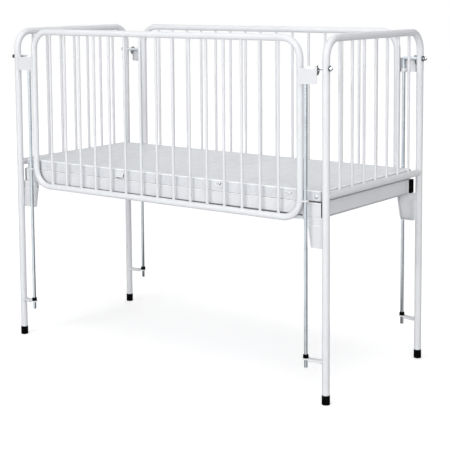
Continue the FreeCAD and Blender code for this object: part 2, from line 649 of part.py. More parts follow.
def tray_lugs():
    """Stepped tabs that stand on the beams, behind the tray's flange and bolted to it."""
    front_y = f"(-{TRAY_Y} + Dims.tray_sheet)"
    back_y = f"({front_y} + {LUG_SHEET})"
    foot_y = f"({front_y} + Dims.lug_jog)"
    jog_z = f"(Dims.base_top + Dims.tray_relief + {LUG_SHEET} / 2)"
    top_z = f"({DECK_Z} - Dims.tray_sheet - 1)"
    lugs = []
    for name, place in zip(("right", "left"), TRAY_BOLTS):
        made = body(f"lug_{name}")
        side = sketch(made, f"lug_{name}_side", "YZ_Plane", place)
        polygon(side, [(front_y, top_z), (front_y, jog_z), (foot_y, jog_z), (foot_y, "Dims.base_top"),
                       (f"{foot_y} + {LUG_SHEET}", "Dims.base_top"),
                       (f"{foot_y} + {LUG_SHEET}", f"{jog_z} + {LUG_SHEET}"),
                       (back_y, f"{jog_z} + {LUG_SHEET}"), (back_y, top_z)])
        pad(made, f"lug_{name}_pad", side, "2 * (Dims.tray_bolt_inset - Dims.tray_corner)", both=True)
        hole = sketch(made, f"lug_{name}_hole", "XZ_Plane", f"-{front_y}")
        circle(hole, place, SLOT_Z, "Dims.tray_bolt_dia / 2 + Dims.fit")
        pocket(made, f"lug_{name}_bore", hole, LUG_SHEET)
        lugs.append(made)
    pair = doc.addObject("Part::Compound", "lug_pair")
    pair.Links = lugs
    rear = doc.addObject("Part::Mirroring", "lug_rear")
    rear.Source = pair
    rear.Normal = (0, 1, 0)
    group = doc.addObject("Part::Compound", "lugs")
    group.Links = [pair, rear]
    node(group, "tray_lugs")


def tray_bolts():
    """Bolts through the tray's flange and the lugs."""
    clamped = f"(Dims.tray_sheet + {LUG_SHEET})"
    places = []
    for name, place in zip(("right", "left"), TRAY_BOLTS):
        spot_y = f"-{TRAY_Y}"
        places.append(placed_bolt(f"tray_bolt_{name}", "tray_bolt", clamped, (place, spot_y, SLOT_Z),
                                  Rotation(Vector(1, 0, 0), -90)))
    pair = doc.addObject("Part::Compound", "tray_bolt_pair")
    pair.Links = places
    rear = doc.addObject("Part::Mirroring", "tray_bolt_rear")
    rear.Source = pair
    rear.Normal = (0, 1, 0)
    group = doc.addObject("Part::Compound", "tray_bolt_group")
    group.Links = [pair, rear]
    node(group, "tray_bolts")


def bracket_bolts():
    """A bolt through the inner wall of each corner bracket."""
    wall_x = f"({LEG_X} - {LEG_R} - Dims.bracket_length)"
    place = (wall_x, BRACKET_BOLT_Y, BRACKET_BOLT_Z)
    one = placed_bolt("bracket_bolt", "bracket_bolt", "Dims.bracket_sheet", place, Rotation(Vector(0, 1, 0), 90))
    grouped_corners(one, "bracket_bolts")


def at_leg(thing):
    """Places a piece drawn along +X on the rod's line, at the front right leg's axis."""
    thing.Placement = Placement(Vector(), Rotation(Vector(0, 0, 1), 1))
    return bind(thing, Placement__Base__x=LEG_X, Placement__Base__y=f"-{LEG_Y}", Placement__Base__z=ROD_Z,
                Placement__Rotation__Angle=ROD_TURN)


def at_rod(thing):
    """Places a piece drawn at the rod's foot, with +X towards the leg."""
    thing.Placement = Placement(Vector(), Rotation(Vector(0, 0, 1), 1))
    return bind(thing, Placement__Base__x=ROD_X, Placement__Base__y=f"-{ROD_Y}",
                Placement__Rotation__Angle=ROD_TURN)


def guide_rod():
    """Upright rod, bent at the top to run through the leg."""
    made = body("rod")
    route = sketch(made, "rod_route", "XZ_Plane")
    shoulder = f"({ROD_RUN} - {LEG_R})"
    rounded(route, [("0", "Dims.rod_end"), ("0", ROD_Z), (shoulder, ROD_Z)], "Dims.rod_bend", closed=False)
    section = sketch(made, "rod_section", "XY_Plane", "Dims.rod_end")
    circle(section, "0", "0", ROD_R)
    pipe(made, "rod_pipe", "Additive", section, route)
    thread = sketch(made, "rod_thread_section", "YZ_Plane", shoulder)
    circle(thread, "0", ROD_Z, "Dims.thread_dia / 2")
    pad(made, "rod_thread", thread, "Dims.leg_dia + Dims.washer_height + Dims.nut_height")
    at_rod(made)
    four_corners(made, "guide_rod")


def rod_fasteners():
    """Acorn nut and washer on the rod's threaded end, outside the leg."""
    level, along = Vector(0, 1, 0), 90
    seat = f"({LEG_R} + Dims.washer_height)"
    hexagon = make("Part::Prism", "acorn_hex", Circumradius="Dims.nut_flats / 2 / cos(30)",
                   Height="Dims.nut_height")
    hexagon.Polygon = 6
    hexagon.Placement = Placement(Vector(), Rotation(level, along))
    bind(hexagon, Placement__Base__x=seat)
    dome = make("Part::Sphere", "acorn_dome", Radius="Dims.nut_dome / 2",
                Placement__Base__x=f"{seat} + Dims.nut_height")
    thread = cylinder("acorn_thread", "Dims.thread_dia / 2", "Dims.nut_height", seat, axis=level, turn=along)
    grouped_corners(at_leg(cut("acorn_nut", fuse("acorn_outer", hexagon, dome), thread)), "acorn_nuts")
    disc = cylinder("washer_disc", "Dims.washer_dia / 2", "Dims.washer_height", LEG_R, axis=level, turn=along)
    hole = cylinder("washer_hole", "Dims.thread_dia / 2 + Dims.fit", "Dims.washer_height", LEG_R, axis=level,
                    turn=along)
    grouped_corners(at_leg(cut("washer", disc, hole)), "rod_washers")


def rod_arm():
    """Flat arm from the leg that holds the rod's foot."""
    made = body("arm")
    low = "(Dims.arm_top - Dims.arm_sheet)"
    half = "(Dims.arm_width / 2)"
    strip = sketch(made, "arm_strip", "XY_Plane", low)
    polygon(strip, box_corners("0", ROD_RUN, f"-{half}", half))
    pad(made, "arm_pad", strip, "Dims.arm_sheet")
    end = sketch(made, "arm_end", "XY_Plane", low)
    circle(end, "0", "0", half)
    pad(made, "arm_end_pad", end, "Dims.arm_sheet")
    holes = sketch(made, "arm_holes", "XY_Plane", low)
    circle(holes, "0", "0", ROD_R)
    circle(holes, ROD_RUN, "0", LEG_R)
    pocket(made, "arm_cope", holes, "Dims.arm_sheet", reverse=True)
    at_rod(made)
    four_corners(made, "rod_arm")


def bumper():
    """Rubber ring on the arm that the drop side lands on."""
    made = body("bumper")
    section = sketch(made, "bumper_section", "XY_Plane", "Dims.arm_top")
    circle(section, "0", "0", "Dims.bumper_dia / 2")
    circle(section, "0", "0", ROD_R)
    ring = pad(made, "bumper_ring", section, "Dims.bumper_height")
    doc.recompute()
    top, wide = num("Dims.arm_top + Dims.bumper_height"), num("Dims.bumper_dia")
    fillet(made, "bumper_round_edge", ring, "min(Dims.bumper_round; (Dims.bumper_dia - Dims.rod_dia) / 2 * 0.9)",
           lambda edge: abs(edge.BoundBox.ZMin - top) < 0.01 and edge.BoundBox.XLength > wide - 0.5)
    at_rod(made)
    four_corners(made, "bumper")


def side_hoop():
    """Closed tube round the drop side."""
    made = body("hoop")
    made.setExpression("Placement.Base.y", f"-{SIDE_Y}")
    route = sketch(made, "hoop_route", "XZ_Plane")
    rounded(route, box_corners(f"-{SIDE_X}", SIDE_X, SIDE_BOTTOM, SIDE_TOP), "Dims.side_bend")
    section = sketch(made, "hoop_section", "YZ_Plane")
    circle(section, "0", SIDE_BOTTOM, SIDE_R)
    pipe(made, "hoop_pipe", "Additive", section, route)
    bore = sketch(made, "hoop_bore", "YZ_Plane")
    circle(bore, "0", SIDE_BOTTOM, f"{SIDE_R} - Dims.side_wall")
    pipe(made, "hoop_hollow", "Subtractive", bore, route)
    front = node(made, "front_side_hoop")
    mirrored(front, "rear_side_hoop", False)


def side_bars():
    """Upright bars between the drop side's rails, coped to them."""
    run = "((Dims.side_bar_count - 1) * Dims.side_bar_pitch)"
    row = body("side_bar_row", many=True)
    section = sketch(row, "side_bar_section", "XY_Plane", SIDE_BOTTOM)
    for radius in ("Dims.bar_dia / 2", "Dims.bar_dia / 2 - Dims.bar_wall"):
        circle(section, f"-{run} / 2", f"-{SIDE_Y}", radius)
    bar = pad(row, "side_bar", section, f"{SIDE_TOP} - {SIDE_BOTTOM}")
    straight_row(row, "side_bar_pattern", bar, "X_Axis", run, "Dims.side_bar_count")
    level = Vector(0, 1, 0)
    rails = []
    for name, height in (("top", SIDE_TOP), ("bottom", SIDE_BOTTOM)):
        rail = cylinder(f"side_{name}_cope", SIDE_R, f"2 * {SIDE_X}", f"-{SIDE_X}", f"-{SIDE_Y}", height,
                        level, 90)
        rails.append(rail)
    front = node(cut("side_bars", row, fuse("side_bar_cope", *rails)), "front_side_bars")
    mirrored(front, "rear_side_bars", False)


def side_corner(front_right, label):
    """Names a drop side's right-hand piece and mirrors it to the left end and the rear side."""
    node(front_right, f"front_{label}_right")
    left = mirrored(front_right, f"front_{label}_left", True)
    mirrored(front_right, f"rear_{label}_right", False)
    mirrored(left, f"rear_{label}_left", False)


def latch_plate():
    """Plate on the drop side's upright tube, with a folded latch flange under the rod's level run."""
    made = body("latch_plate")
    outline = sketch(made, "plate_outline", "XZ_Plane", PLATE_Y)
    ear_x, ear_z = f"({PLATE_X} - Dims.ear_width)", f"({ROD_Z} + Dims.ear_height)"
    polygon(outline, [(SIDE_X, PLATE_BOTTOM), (PLATE_X, PLATE_BOTTOM), (PLATE_X, ear_z), (ear_x, ear_z),
                      (ear_x, ROD_Z), (SIDE_X, ROD_Z)])
    flat = pad(made, "plate_pad", outline, "Dims.plate_sheet")
    doc.recompute()
    low, outer = num(PLATE_BOTTOM), num(PLATE_X)
    fillet(made, "plate_round", flat, "Dims.plate_corner",
           lambda edge: abs(edge.BoundBox.ZMax - low) < 0.01 and abs(edge.BoundBox.XMin - outer) < 0.01)
    edge_y = f"(-{PLATE_Y})"
    rod_run_y = f"(-{ROD_Y} + Dims.plate_reach * Dims.rod_offset / Dims.rod_inset)"
    pass_y = f"({rod_run_y} - {ROD_R} - Dims.hook_clear)"
    deep_y = f"({edge_y} + Dims.hook_depth)"
    under_z = f"({ROD_Z} - {ROD_R} - Dims.hook_clear)"
    low_z = f"({ROD_Z} - Dims.hook_drop)"
    flange = sketch(made, "hook_outline", "YZ_Plane", PLATE_X)
    polygon(flange, [(edge_y, low_z), (f"{edge_y} + Dims.hook_depth / 2", low_z), (deep_y, f"{under_z} - 3"),
                     (deep_y, under_z), (pass_y, under_z), (pass_y, ear_z), (edge_y, ear_z)])
    pad(made, "hook_pad", flange, "Dims.plate_sheet", reverse=True)
    side_corner(made, "latch_plate")


def upper_eye():
    """Strap round the rod, welded to the latch plate's inner face."""
    made = body("upper_eye")
    low = f"({PLATE_BOTTOM} + Dims.upper_eye_rise)"
    face_y = f"(-{PLATE_Y})"
    outer_r = f"({EYE_IN} + Dims.upper_eye_sheet)"
    height = "Dims.upper_eye_height"
    ring = sketch(made, "eye_ring", "XY_Plane", low)
    circle(ring, ROD_X, f"-{ROD_Y}", outer_r)
    pad(made, "eye_ring_pad", ring, height)
    straps = sketch(made, "eye_sides", "XY_Plane", low)
    polygon(straps, box_corners(f"{ROD_X} - {outer_r}", f"{ROD_X} + {outer_r}", face_y, f"-{ROD_Y}"))
    pad(made, "eye_sides_pad", straps, height)
    tail = sketch(made, "eye_tail", "XY_Plane", low)
    polygon(tail, box_corners(f"{ROD_X} + {EYE_IN}", f"{ROD_X} + {outer_r} + Dims.eye_foot", face_y,
                              f"{face_y} + Dims.upper_eye_sheet"))
    pad(made, "eye_tail_pad", tail, height)
    hole = sketch(made, "eye_hole", "XY_Plane", low)
    circle(hole, ROD_X, f"-{ROD_Y}", EYE_IN)
    pocket(made, "eye_hole_cut", hole, height, reverse=True)
    mouth = sketch(made, "eye_mouth", "XY_Plane", low)
    polygon(mouth, box_corners(f"{ROD_X} - {EYE_IN}", f"{ROD_X} + {EYE_IN}", f"{face_y} - {outer_r}",
                               f"-{ROD_Y}"))
    pocket(made, "eye_mouth_cut", mouth, height, reverse=True)
    beyond = sketch(made, "eye_trim", "XY_Plane", low)
    polygon(beyond, box_corners(f"{ROD_X} - {outer_r} - 1", f"{ROD_X} + {outer_r} + 1",
                                f"{face_y} - {outer_r}", face_y))
    pocket(made, "eye_trim_cut", beyond, height, reverse=True)
    side_corner(made, "upper_eye")


def lower_eye():
    """Flat plate on the drop side's upright tube, with a hole for the rod."""
    made = body("lower_eye")
    low = f"({SIDE_BOTTOM} + Dims.lower_eye_rise)"
    outer_r = f"({EYE_IN} + Dims.lower_eye_rim)"
    thick = "Dims.lower_eye_sheet"
    strip = sketch(made, "lower_strip", "XY_Plane", low)
    polygon(strip, box_corners(SIDE_X, ROD_X, f"-{ROD_Y} - {outer_r}", f"-{ROD_Y} + {outer_r}"))
    pad(made, "lower_strip_pad", strip, thick)
    ring = sketch(made, "lower_ring", "XY_Plane", low)
    circle(ring, ROD_X, f"-{ROD_Y}", outer_r)
    pad(made, "lower_ring_pad", ring, thick)
    holes = sketch(made, "lower_holes", "XY_Plane", low)
    circle(holes, ROD_X, f"-{ROD_Y}", EYE_IN)
    circle(holes, SIDE_X, f"-{SIDE_Y}", SIDE_R)
    pocket(made, "lower_cope", holes, thick, reverse=True)
    side_corner(made, "lower_eye")


end_frame()
end_cross_tube()
end_bars()
foot()
base_beam()
crossmember()
cross_stiffener()
beam_plug()
bracket()
bracket_bolts()
tray()
tray_lugs()
tray_bolts()
guide_rod()
rod_fasteners()
rod_arm()
bumper()
side_hoop()
side_bars()
latch_plate()
upper_eye()
lower_eye()
doc.recompute()

for thing in doc.Objects:
    if "Invalid" in thing.State or "Error" in thing.State:
        raise SystemExit(f"{thing.Label} failed: {thing.State}")
for thing in nodes:
    if thing.Shape.isNull() or not thing.Shape.isValid() or not thing.Shape.Solids:
        raise SystemExit(f"{thing.Label} has no valid solid")
for thing in nodes:
    thing.Shape.exportStep(f"parts/{thing.Label}.step")
print(f"{len(nodes)} sub-parts, {sum(len(thing.Shape.Solids) for thing in nodes)} solids")
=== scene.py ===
# Child's hospital cot in white tube. The sides slide down on upright rods at the four corners.
import json
import math
import bmesh
import bpy
from mathutils import Matrix, Vector


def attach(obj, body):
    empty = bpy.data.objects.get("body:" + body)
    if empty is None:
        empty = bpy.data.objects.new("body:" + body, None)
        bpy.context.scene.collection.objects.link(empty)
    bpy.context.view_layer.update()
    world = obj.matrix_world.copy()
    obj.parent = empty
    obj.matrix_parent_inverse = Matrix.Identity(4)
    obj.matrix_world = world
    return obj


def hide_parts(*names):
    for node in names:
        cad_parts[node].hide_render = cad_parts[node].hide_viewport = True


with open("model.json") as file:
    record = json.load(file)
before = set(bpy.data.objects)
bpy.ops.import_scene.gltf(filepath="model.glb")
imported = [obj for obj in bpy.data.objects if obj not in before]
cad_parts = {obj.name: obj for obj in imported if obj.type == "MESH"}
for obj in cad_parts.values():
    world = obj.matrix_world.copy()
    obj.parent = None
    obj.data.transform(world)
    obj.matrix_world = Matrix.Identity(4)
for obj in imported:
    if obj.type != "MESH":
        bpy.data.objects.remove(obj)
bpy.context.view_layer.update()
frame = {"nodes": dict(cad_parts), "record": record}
print("frame loaded:", len(frame["nodes"]), "parts of the cot")

corners = {"front_right": (1, -1), "front_left": (-1, -1), "rear_right": (1, 1), "rear_left": (-1, 1)}
sides = {"front": -1, "rear": 1}
ends = {"right": 1, "left": -1}
nearlySame = 0.000002      # points closer than this are merged


def addNode(tree, kind, settings=None, values=None):
    node = tree.nodes.new(kind)
    for key, value in (settings or {}).items():
        setattr(node, key, value)
    for key, value in (values or {}).items():
        node.inputs[key].default_value = value
    return node


def startMaterial(name, values):
    made = bpy.data.materials.new(name)
    made.use_nodes = True
    shader = made.node_tree.nodes["Principled BSDF"]
    for key, value in values.items():
        shader.inputs[key].default_value = value
    where = addNode(made.node_tree, "ShaderNodeTexCoord")
    return made, made.node_tree, shader, where.outputs["Object"]


def noise(tree, place, scale, detail, stretch=None):
    if stretch:
        mapping = addNode(tree, "ShaderNodeMapping", values={"Scale": stretch})
        tree.links.new(place, mapping.inputs["Vector"])
        place = mapping.outputs["Vector"]
    made = addNode(tree, "ShaderNodeTexNoise", values={"Scale": scale, "Detail": detail})
    tree.links.new(place, made.inputs["Vector"])
    return made.outputs["Fac"]


# from low to high as a value goes between two others, at first those that most of a noise lies between
def spread(tree, value, low, high, fromLow=0.3, fromHigh=0.7):
    values = {"From Min": fromLow, "From Max": fromHigh, "To Min": low, "To Max": high}
    made = addNode(tree, "ShaderNodeMapRange", values=values)
    tree.links.new(value, made.inputs["Value"])
    return made.outputs["Result"]


# stops are (place from 0 to 1, colour)
def ramp(tree, value, stops):
    made = addNode(tree, "ShaderNodeValToRGB")
    band = made.color_ramp
    for element, (spot, colour) in zip(band.elements, stops):
        element.position = spot
        element.color = (*colour, 1)
    for spot, colour in stops[len(band.elements):]:
        band.elements.new(spot).color = (*colour, 1)
    tree.links.new(value, made.inputs["Fac"])
    return made.outputs["Color"]


def mixColour(tree, how, amount, under, over):
    made = addNode(tree, "ShaderNodeMix", {"data_type": "RGBA", "blend_type": how})
    for value, socket in ((amount, made.inputs[0]), (under, made.inputs[6]), (over, made.inputs[7])):
        if isinstance(value, (float, tuple)):
            socket.default_value = value
        else:
            tree.links.new(value, socket)
    return made.outputs[2]


def both(tree, how, first, second):
    made = addNode(tree, "ShaderNodeMath", {"operation": how})
    for value, socket in ((first, made.inputs[0]), (second, made.inputs[1])):
        if isinstance(value, float):
            socket.default_value = value
        else:
            tree.links.new(value, socket)
    return made.outputs[0]


# each layer is a height, the strength of its bump and its depth in metres
def bumps(tree, shader, layers):
    normal = None
    for height, strength, distance in layers:
        made = addNode(tree, "ShaderNodeBump", values={"Strength": strength, "Distance": distance})
        tree.links.new(height, made.inputs["Height"])
        if normal:
            tree.links.new(normal, made.inputs["Normal"])
        normal = made.outputs["Normal"]
    tree.links.new(normal, shader.inputs["Normal"])


# 1 where a coordinate, without its sign, lies between two values that may climb along X
def strip(tree, place, axis, low, high, climb=0.0):
    parts = addNode(tree, "ShaderNodeSeparateXYZ")
    tree.links.new(place, parts.inputs[0])
    value = both(tree, "ABSOLUTE", parts.outputs[axis], 0.0)
    if climb:
        value = both(tree, "SUBTRACT", value, both(tree, "MULTIPLY", parts.outputs["X"], climb))
    above = both(tree, "GREATER_THAN", value, low)
    return both(tree, "MULTIPLY", above, both(tree, "LESS_THAN", value, high))


# painted highlight along the coat's outer edges, and painted shade where two parts meet
edgeHighlightAndGapShade = {"edge": 0.003, "edgeSamples": 4, "edgeFrom": 0.985, "edgeTo": 0.80, "edgeHighlight": (1.0, 1.0, 1.0, 1),
           "clear": 0.9, "gapSamples": 8,
           "narrow": {"reach": 0.009, "shut": 0.12, "open": 0.52, "gapShade": (0.20, 0.205, 0.215)},
           "broad": {"reach": 0.026, "shut": 0.34, "open": 0.70, "gapShade": (0.05, 0.055, 0.06)}}


def paintEdgeHighlightAndGapShade(tree, tint, width):
    look = edgeHighlightAndGapShade
    gap = look[width]
    hidden = addNode(tree, "ShaderNodeAmbientOcclusion", {"samples": look["gapSamples"]},
                     {"Distance": gap["reach"]})
    rounded = addNode(tree, "ShaderNodeBevel", {"samples": look["edgeSamples"]},
                      {"Radius": look["edge"]})
    flat = addNode(tree, "ShaderNodeNewGeometry")
    agree = addNode(tree, "ShaderNodeVectorMath", {"operation": "DOT_PRODUCT"})
    tree.links.new(rounded.outputs["Normal"], agree.inputs[0])
    tree.links.new(flat.outputs["Normal"], agree.inputs[1])
    bent = spread(tree, agree.outputs["Value"], 1.0, 0.0, look["edgeTo"], look["edgeFrom"])
    free = spread(tree, hidden.outputs["AO"], 0.0, 1.0, gap["open"], look["clear"])
    # painted highlight: lighter where the bevelled normal leaves the face's own and no part is near
    tint = mixColour(tree, "MIX", both(tree, "MULTIPLY", bent, free), tint, look["edgeHighlight"])
    # painted shade: darker where ambient occlusion finds other parts close by
    shade = ramp(tree, hidden.outputs["AO"], [(gap["shut"], gap["gapShade"]), (gap["open"], (1, 1, 1))])
    return mixColour(tree, "MULTIPLY", 1.0, tint, shade)


# noises are (scale, detail), bands are where a noise starts and ends to count
powderCoat = {"gloss": {"IOR": 1.5, "Specular IOR Level": 0.15, "Coat Weight": 1.0, "Coat IOR": 1.05,
                        "Coat Roughness": 0.3},
              "clear": (0.90, 0.90, 0.902, 1), "light": (0.915, 0.925, 0.948), "dull": (0.88, 0.892, 0.918),
              "cloud": (5.0, 5.0), "cloudBand": (0.35, 0.62), "speck": (0.90, 0.90, 0.89, 1),
              "grit": (190.0, 2.0), "gritAmount": 0.35, "gritBand": (0.66, 0.78), "wearAndHighlight": (16.0, 4.0),
              "smooth": 0.27, "matt": 0.42, "ripple": (38.0, 1.0), "rippleBump": (0.25, 0.0003),
              "orangePeel": (620.0, 1.5), "peelBump": (0.3, 0.00006)}
sheetCoat = {**powderCoat, "light": (0.875, 0.885, 0.908), "dull": (0.842, 0.853, 0.878)}
# a lighter copy of the coat, a painted highlight
highlightCoat = {**powderCoat, "clear": (1, 1, 1, 1), "light": (0.97, 0.975, 0.98), "dull": (0.94, 0.945, 0.955)}
# painted shade and highlights as lines: the (axis, low, high, climb) that each keeps to, and its colour
# beam: painted shade in the seam under the deck's side, a painted highlight on the top edge below it, and
# painted shade along the bottom between the hoop's uprights, taller towards +X
paintedLightLines = {"beam": [([("Z", 0.6645, 0.6661)], (0.22, 0.225, 0.235, 1)),
                  ([("Z", 0.6622, 0.6647)], (1.0, 1.0, 1.0, 1)),
                  ([("Z", 0.6100, 0.6202, 0.0037), ("X", 0.0, 0.612)], (0.20, 0.205, 0.215, 1))],
         # front bracket: painted highlights along the line of the tube's bottom and along the bend
         "front_bracket": [([("Z", 0.6135, 0.6165)], (1.0, 1.0, 1.0, 1)),
                           ([("Z", 0.5865, 0.5895)], (1.0, 1.0, 1.0, 1))],
         # crossmember: painted shade along its lower edge, on the lip folded under it
         "member": [([("Z", 0.6000, 0.6150)], (0.55, 0.555, 0.57, 1))],
         # front latch plates: painted shade on the hook's flange, near black at its top
         "front_latch": [([("X", 0.668, 1.0), ("Y", 0.0, 0.3316)], (0.13, 0.135, 0.14, 1)),
                         ([("X", 0.668, 1.0), ("Y", 0.0, 0.3322), ("Z", 1.1095, 2.0)],
                          (0.02, 0.02, 0.022, 1))],
         # rear latch plates: painted shade along the outer edge, near black at the top of the hook
         "rear_latch": [([("X", 0.6805, 1.0)], (0.30, 0.305, 0.315, 1)),
                        ([("X", 0.668, 1.0), ("Y", 0.0, 0.3322), ("Z", 1.1055, 2.0)],
                         (0.02, 0.02, 0.022, 1))]}


def makePowderCoat(name, look=powderCoat, lines=(), width="narrow"):
    made, tree, shader, place = startMaterial(name, {**look["gloss"], "Coat Tint": look["clear"]})
    cloud = noise(tree, place, *look["cloud"])
    tint = ramp(tree, cloud, list(zip(look["cloudBand"], (look["dull"], look["light"]))))
    grit = spread(tree, noise(tree, place, *look["grit"]), 0.0, look["gritAmount"], *look["gritBand"])
    tint = mixColour(tree, "MULTIPLY", grit, tint, look["speck"])
    # paints each line of shade or highlight over the colour
    for limits, colour in lines:
        inside = 1.0
        for limit in limits:
            inside = both(tree, "MULTIPLY", inside, strip(tree, place, *limit))
        tint = mixColour(tree, "MIX", inside, tint, colour)
    # painted edge highlight and painted shade between parts
    tree.links.new(paintEdgeHighlightAndGapShade(tree, tint, width), shader.inputs["Base Color"])
    wearAndHighlight = noise(tree, place, *look["wearAndHighlight"])
    tree.links.new(spread(tree, wearAndHighlight, look["smooth"], look["matt"]), shader.inputs["Roughness"])
    bumps(tree, shader, [(noise(tree, place, *look["ripple"]), *look["rippleBump"]),
                         (noise(tree, place, *look["orangePeel"]), *look["peelBump"])])
    return made


# the deck is duller sheet: mottled, brushed across, scratched, with a painted highlight along its rim and
# painted shade at its end corners
deckCoat = {"gloss": {"IOR": 1.5, "Specular IOR Level": 0.1}, "light": (0.735, 0.747, 0.770),
            "dull": (0.70, 0.713, 0.737), "smudge": (3.2, 6.0), "smudgeBand": (0.3, 0.6),
            "mottle": (34.0, 4.0), "mottleBand": (0.38, 0.6), "mottleAmount": 0.8,
            "spot": (0.94, 0.945, 0.95),
            "brush": (9.0, 3.0, (10.0, 1.1, 10.0)), "brushBand": (0.42, 0.56), "brushAmount": 0.5,
            "streak": (0.97, 0.975, 0.98), "scratch": (9.0, 1.0, (2.6, 0.16, 1.0)),
            "scratchBand": (0.48, 0.50, 0.52), "scratchAmount": 0.8, "groove": (0.90, 0.905, 0.91),
            # rim: where the painted highlight lies; corner: where the painted shade lies
            "rimY": 0.3008, "rimX": 0.677, "rimZ": 0.7005,
            "wearAndHighlight": (0.97, 0.97, 0.975, 1), "cornerX": 0.6802, "cornerY": 0.27,
            "corner": (0.74, 0.74, 0.75, 1), "patch": (22.0, 5.0), "smooth": 0.36, "matt": 0.52,
            "wave": (4.5, 1.0), "waveBump": (0.35, 0.003), "orangePeel": (620.0, 1.5),
            "peelBump": (0.3, 0.00006)}


def makeDeckCoat():
    look = deckCoat
    white = (1, 1, 1)
    made, tree, shader, place = startMaterial("white_sheet_coat", look["gloss"])
    smudge = noise(tree, place, *look["smudge"])
    tint = ramp(tree, smudge, list(zip(look["smudgeBand"], (look["dull"], look["light"]))))
    for layer, colours in (("mottle", (look["spot"], white)), ("brush", (look["streak"], white)),
                           ("scratch", (white, look["groove"], white))):
        shade = ramp(tree, noise(tree, place, *look[layer]), list(zip(look[layer + "Band"], colours)))
        tint = mixColour(tree, "MULTIPLY", look[layer + "Amount"], tint, shade)
    # painted highlight along the top of the rim
    rim = both(tree, "MAXIMUM", strip(tree, place, "Y", look["rimY"], 1.0),
               strip(tree, place, "X", look["rimX"], 1.0))
    rim = both(tree, "MULTIPLY", rim, strip(tree, place, "Z", look["rimZ"], 1.0))
    tint = mixColour(tree, "MIX", rim, tint, look["wearAndHighlight"])
    # painted shade at the end corners of the sides, by the legs
    corner = both(tree, "MULTIPLY", strip(tree, place, "X", look["cornerX"], 1.0),
                  strip(tree, place, "Y", look["cornerY"], 1.0))
    tint = mixColour(tree, "MULTIPLY", corner, tint, look["corner"])
    # painted edge highlight and painted shade between parts
    tree.links.new(paintEdgeHighlightAndGapShade(tree, tint, "narrow"), shader.inputs["Base Color"])
    patch = noise(tree, place, *look["patch"])
    tree.links.new(spread(tree, patch, look["smooth"], look["matt"]), shader.inputs["Roughness"])
    bumps(tree, shader, [(noise(tree, place, *look["wave"]), *look["waveBump"]),
                         (noise(tree, place, *look["orangePeel"]), *look["peelBump"])])
    return made


# grain is (scale, detail, stretch), drawn out along the rods; rim tints what is seen at a glancing angle
plating = {"zinc_plate": {"bright": (0.84, 0.90, 0.945), "dull": (0.76, 0.82, 0.865), "smooth": 0.16,
                          "matt": 0.26, "grain": (420.0, 3.0, (1.0, 1.0, 0.05)),
                          "rim": (0.35, 0.38, 0.40, 1)},
           "bright_plate": {"bright": (0.95, 0.96, 0.97), "dull": (0.82, 0.85, 0.87), "smooth": 0.06,
                            "matt": 0.16, "grain": (120.0, 3.0, (1.0, 1.0, 1.0)), "rim": (0.4, 0.4, 0.4, 1)},
           # hex_plate: a darker copy of the plating for the nuts' hexagons, a painted shade
           "hex_plate": {"bright": (0.20, 0.225, 0.24), "dull": (0.10, 0.12, 0.13), "smooth": 0.16,
                         "matt": 0.3, "grain": (120.0, 3.0, (1.0, 1.0, 1.0)), "rim": (0.3, 0.3, 0.3, 1)},
           # washer_plate: a darker copy of the plating for the rods' washers, a painted shade
           "washer_plate": {"bright": (0.40, 0.43, 0.45), "dull": (0.26, 0.29, 0.31), "smooth": 0.2,
                            "matt": 0.36, "grain": (120.0, 3.0, (1.0, 1.0, 1.0)), "rim": (0.3, 0.3, 0.3, 1)},
           "bolt_plate": {"bright": (0.74, 0.78, 0.81), "dull": (0.58, 0.62, 0.65), "smooth": 0.2,
                          "matt": 0.4, "grain": (300.0, 3.0, (1.0, 1.0, 1.0)), "rim": (0.5, 0.5, 0.5, 1)}}
plateStain = {"cloud": (24.0, 5.0), "cloudBand": (0.36, 0.6), "line": (0.90, 0.91, 0.92),
              "lineBand": (0.3, 0.6), "lineAmount": 0.7, "grainBump": (0.2, 0.00005)}


def makePlating(name):
    look = plating[name]
    stain = plateStain
    made, tree, shader, place = startMaterial(name, {"Metallic": 1.0, "Specular Tint": look["rim"]})
    cloud = noise(tree, place, *stain["cloud"])
    tint = ramp(tree, cloud, list(zip(stain["cloudBand"], (look["dull"], look["bright"]))))
    grain = noise(tree, place, *look["grain"])
    lines = ramp(tree, grain, list(zip(stain["lineBand"], (stain["line"], (1, 1, 1)))))
    tint = mixColour(tree, "MULTIPLY", stain["lineAmount"], tint, lines)
    tree.links.new(tint, shader.inputs["Base Color"])
    tree.links.new(spread(tree, grain, look["smooth"], look["matt"]), shader.inputs["Roughness"])
    bumps(tree, shader, [(grain, *stain["grainBump"])])
    return made


blacks = {"foot_black": {"dark": (0.0015, 0.0015, 0.0018), "worn": (0.006, 0.006, 0.0066), "matt": 0.62,
                         "grain": (900.0, 2.0)},
          "stop_black": {"dark": (0.0012, 0.0012, 0.0015), "worn": (0.005, 0.005, 0.0056), "matt": 0.5,
                         "grain": (1100.0, 2.0)},
          "plug_black": {"dark": (0.0012, 0.0012, 0.0015), "worn": (0.004, 0.004, 0.0045), "matt": 0.45,
                         "grain": (1500.0, 2.0)}}
blackWear = {"gloss": {"Specular IOR Level": 0.03}, "scuff": (70.0, 5.0), "scuffBand": (0.45, 0.7),
             "dusty": 0.2, "grainBump": (0.4, 0.00008)}


def makeBlack(name):
    look = blacks[name]
    wear = blackWear
    made, tree, shader, place = startMaterial(name, wear["gloss"])
    scuff = noise(tree, place, *wear["scuff"])
    tint = ramp(tree, scuff, list(zip(wear["scuffBand"], (look["dark"], look["worn"]))))
    tree.links.new(tint, shader.inputs["Base Color"])
    rough = spread(tree, scuff, look["matt"], look["matt"] + wear["dusty"])
    tree.links.new(rough, shader.inputs["Roughness"])
    bumps(tree, shader, [(noise(tree, place, *look["grain"]), *wear["grainBump"])])
    return made


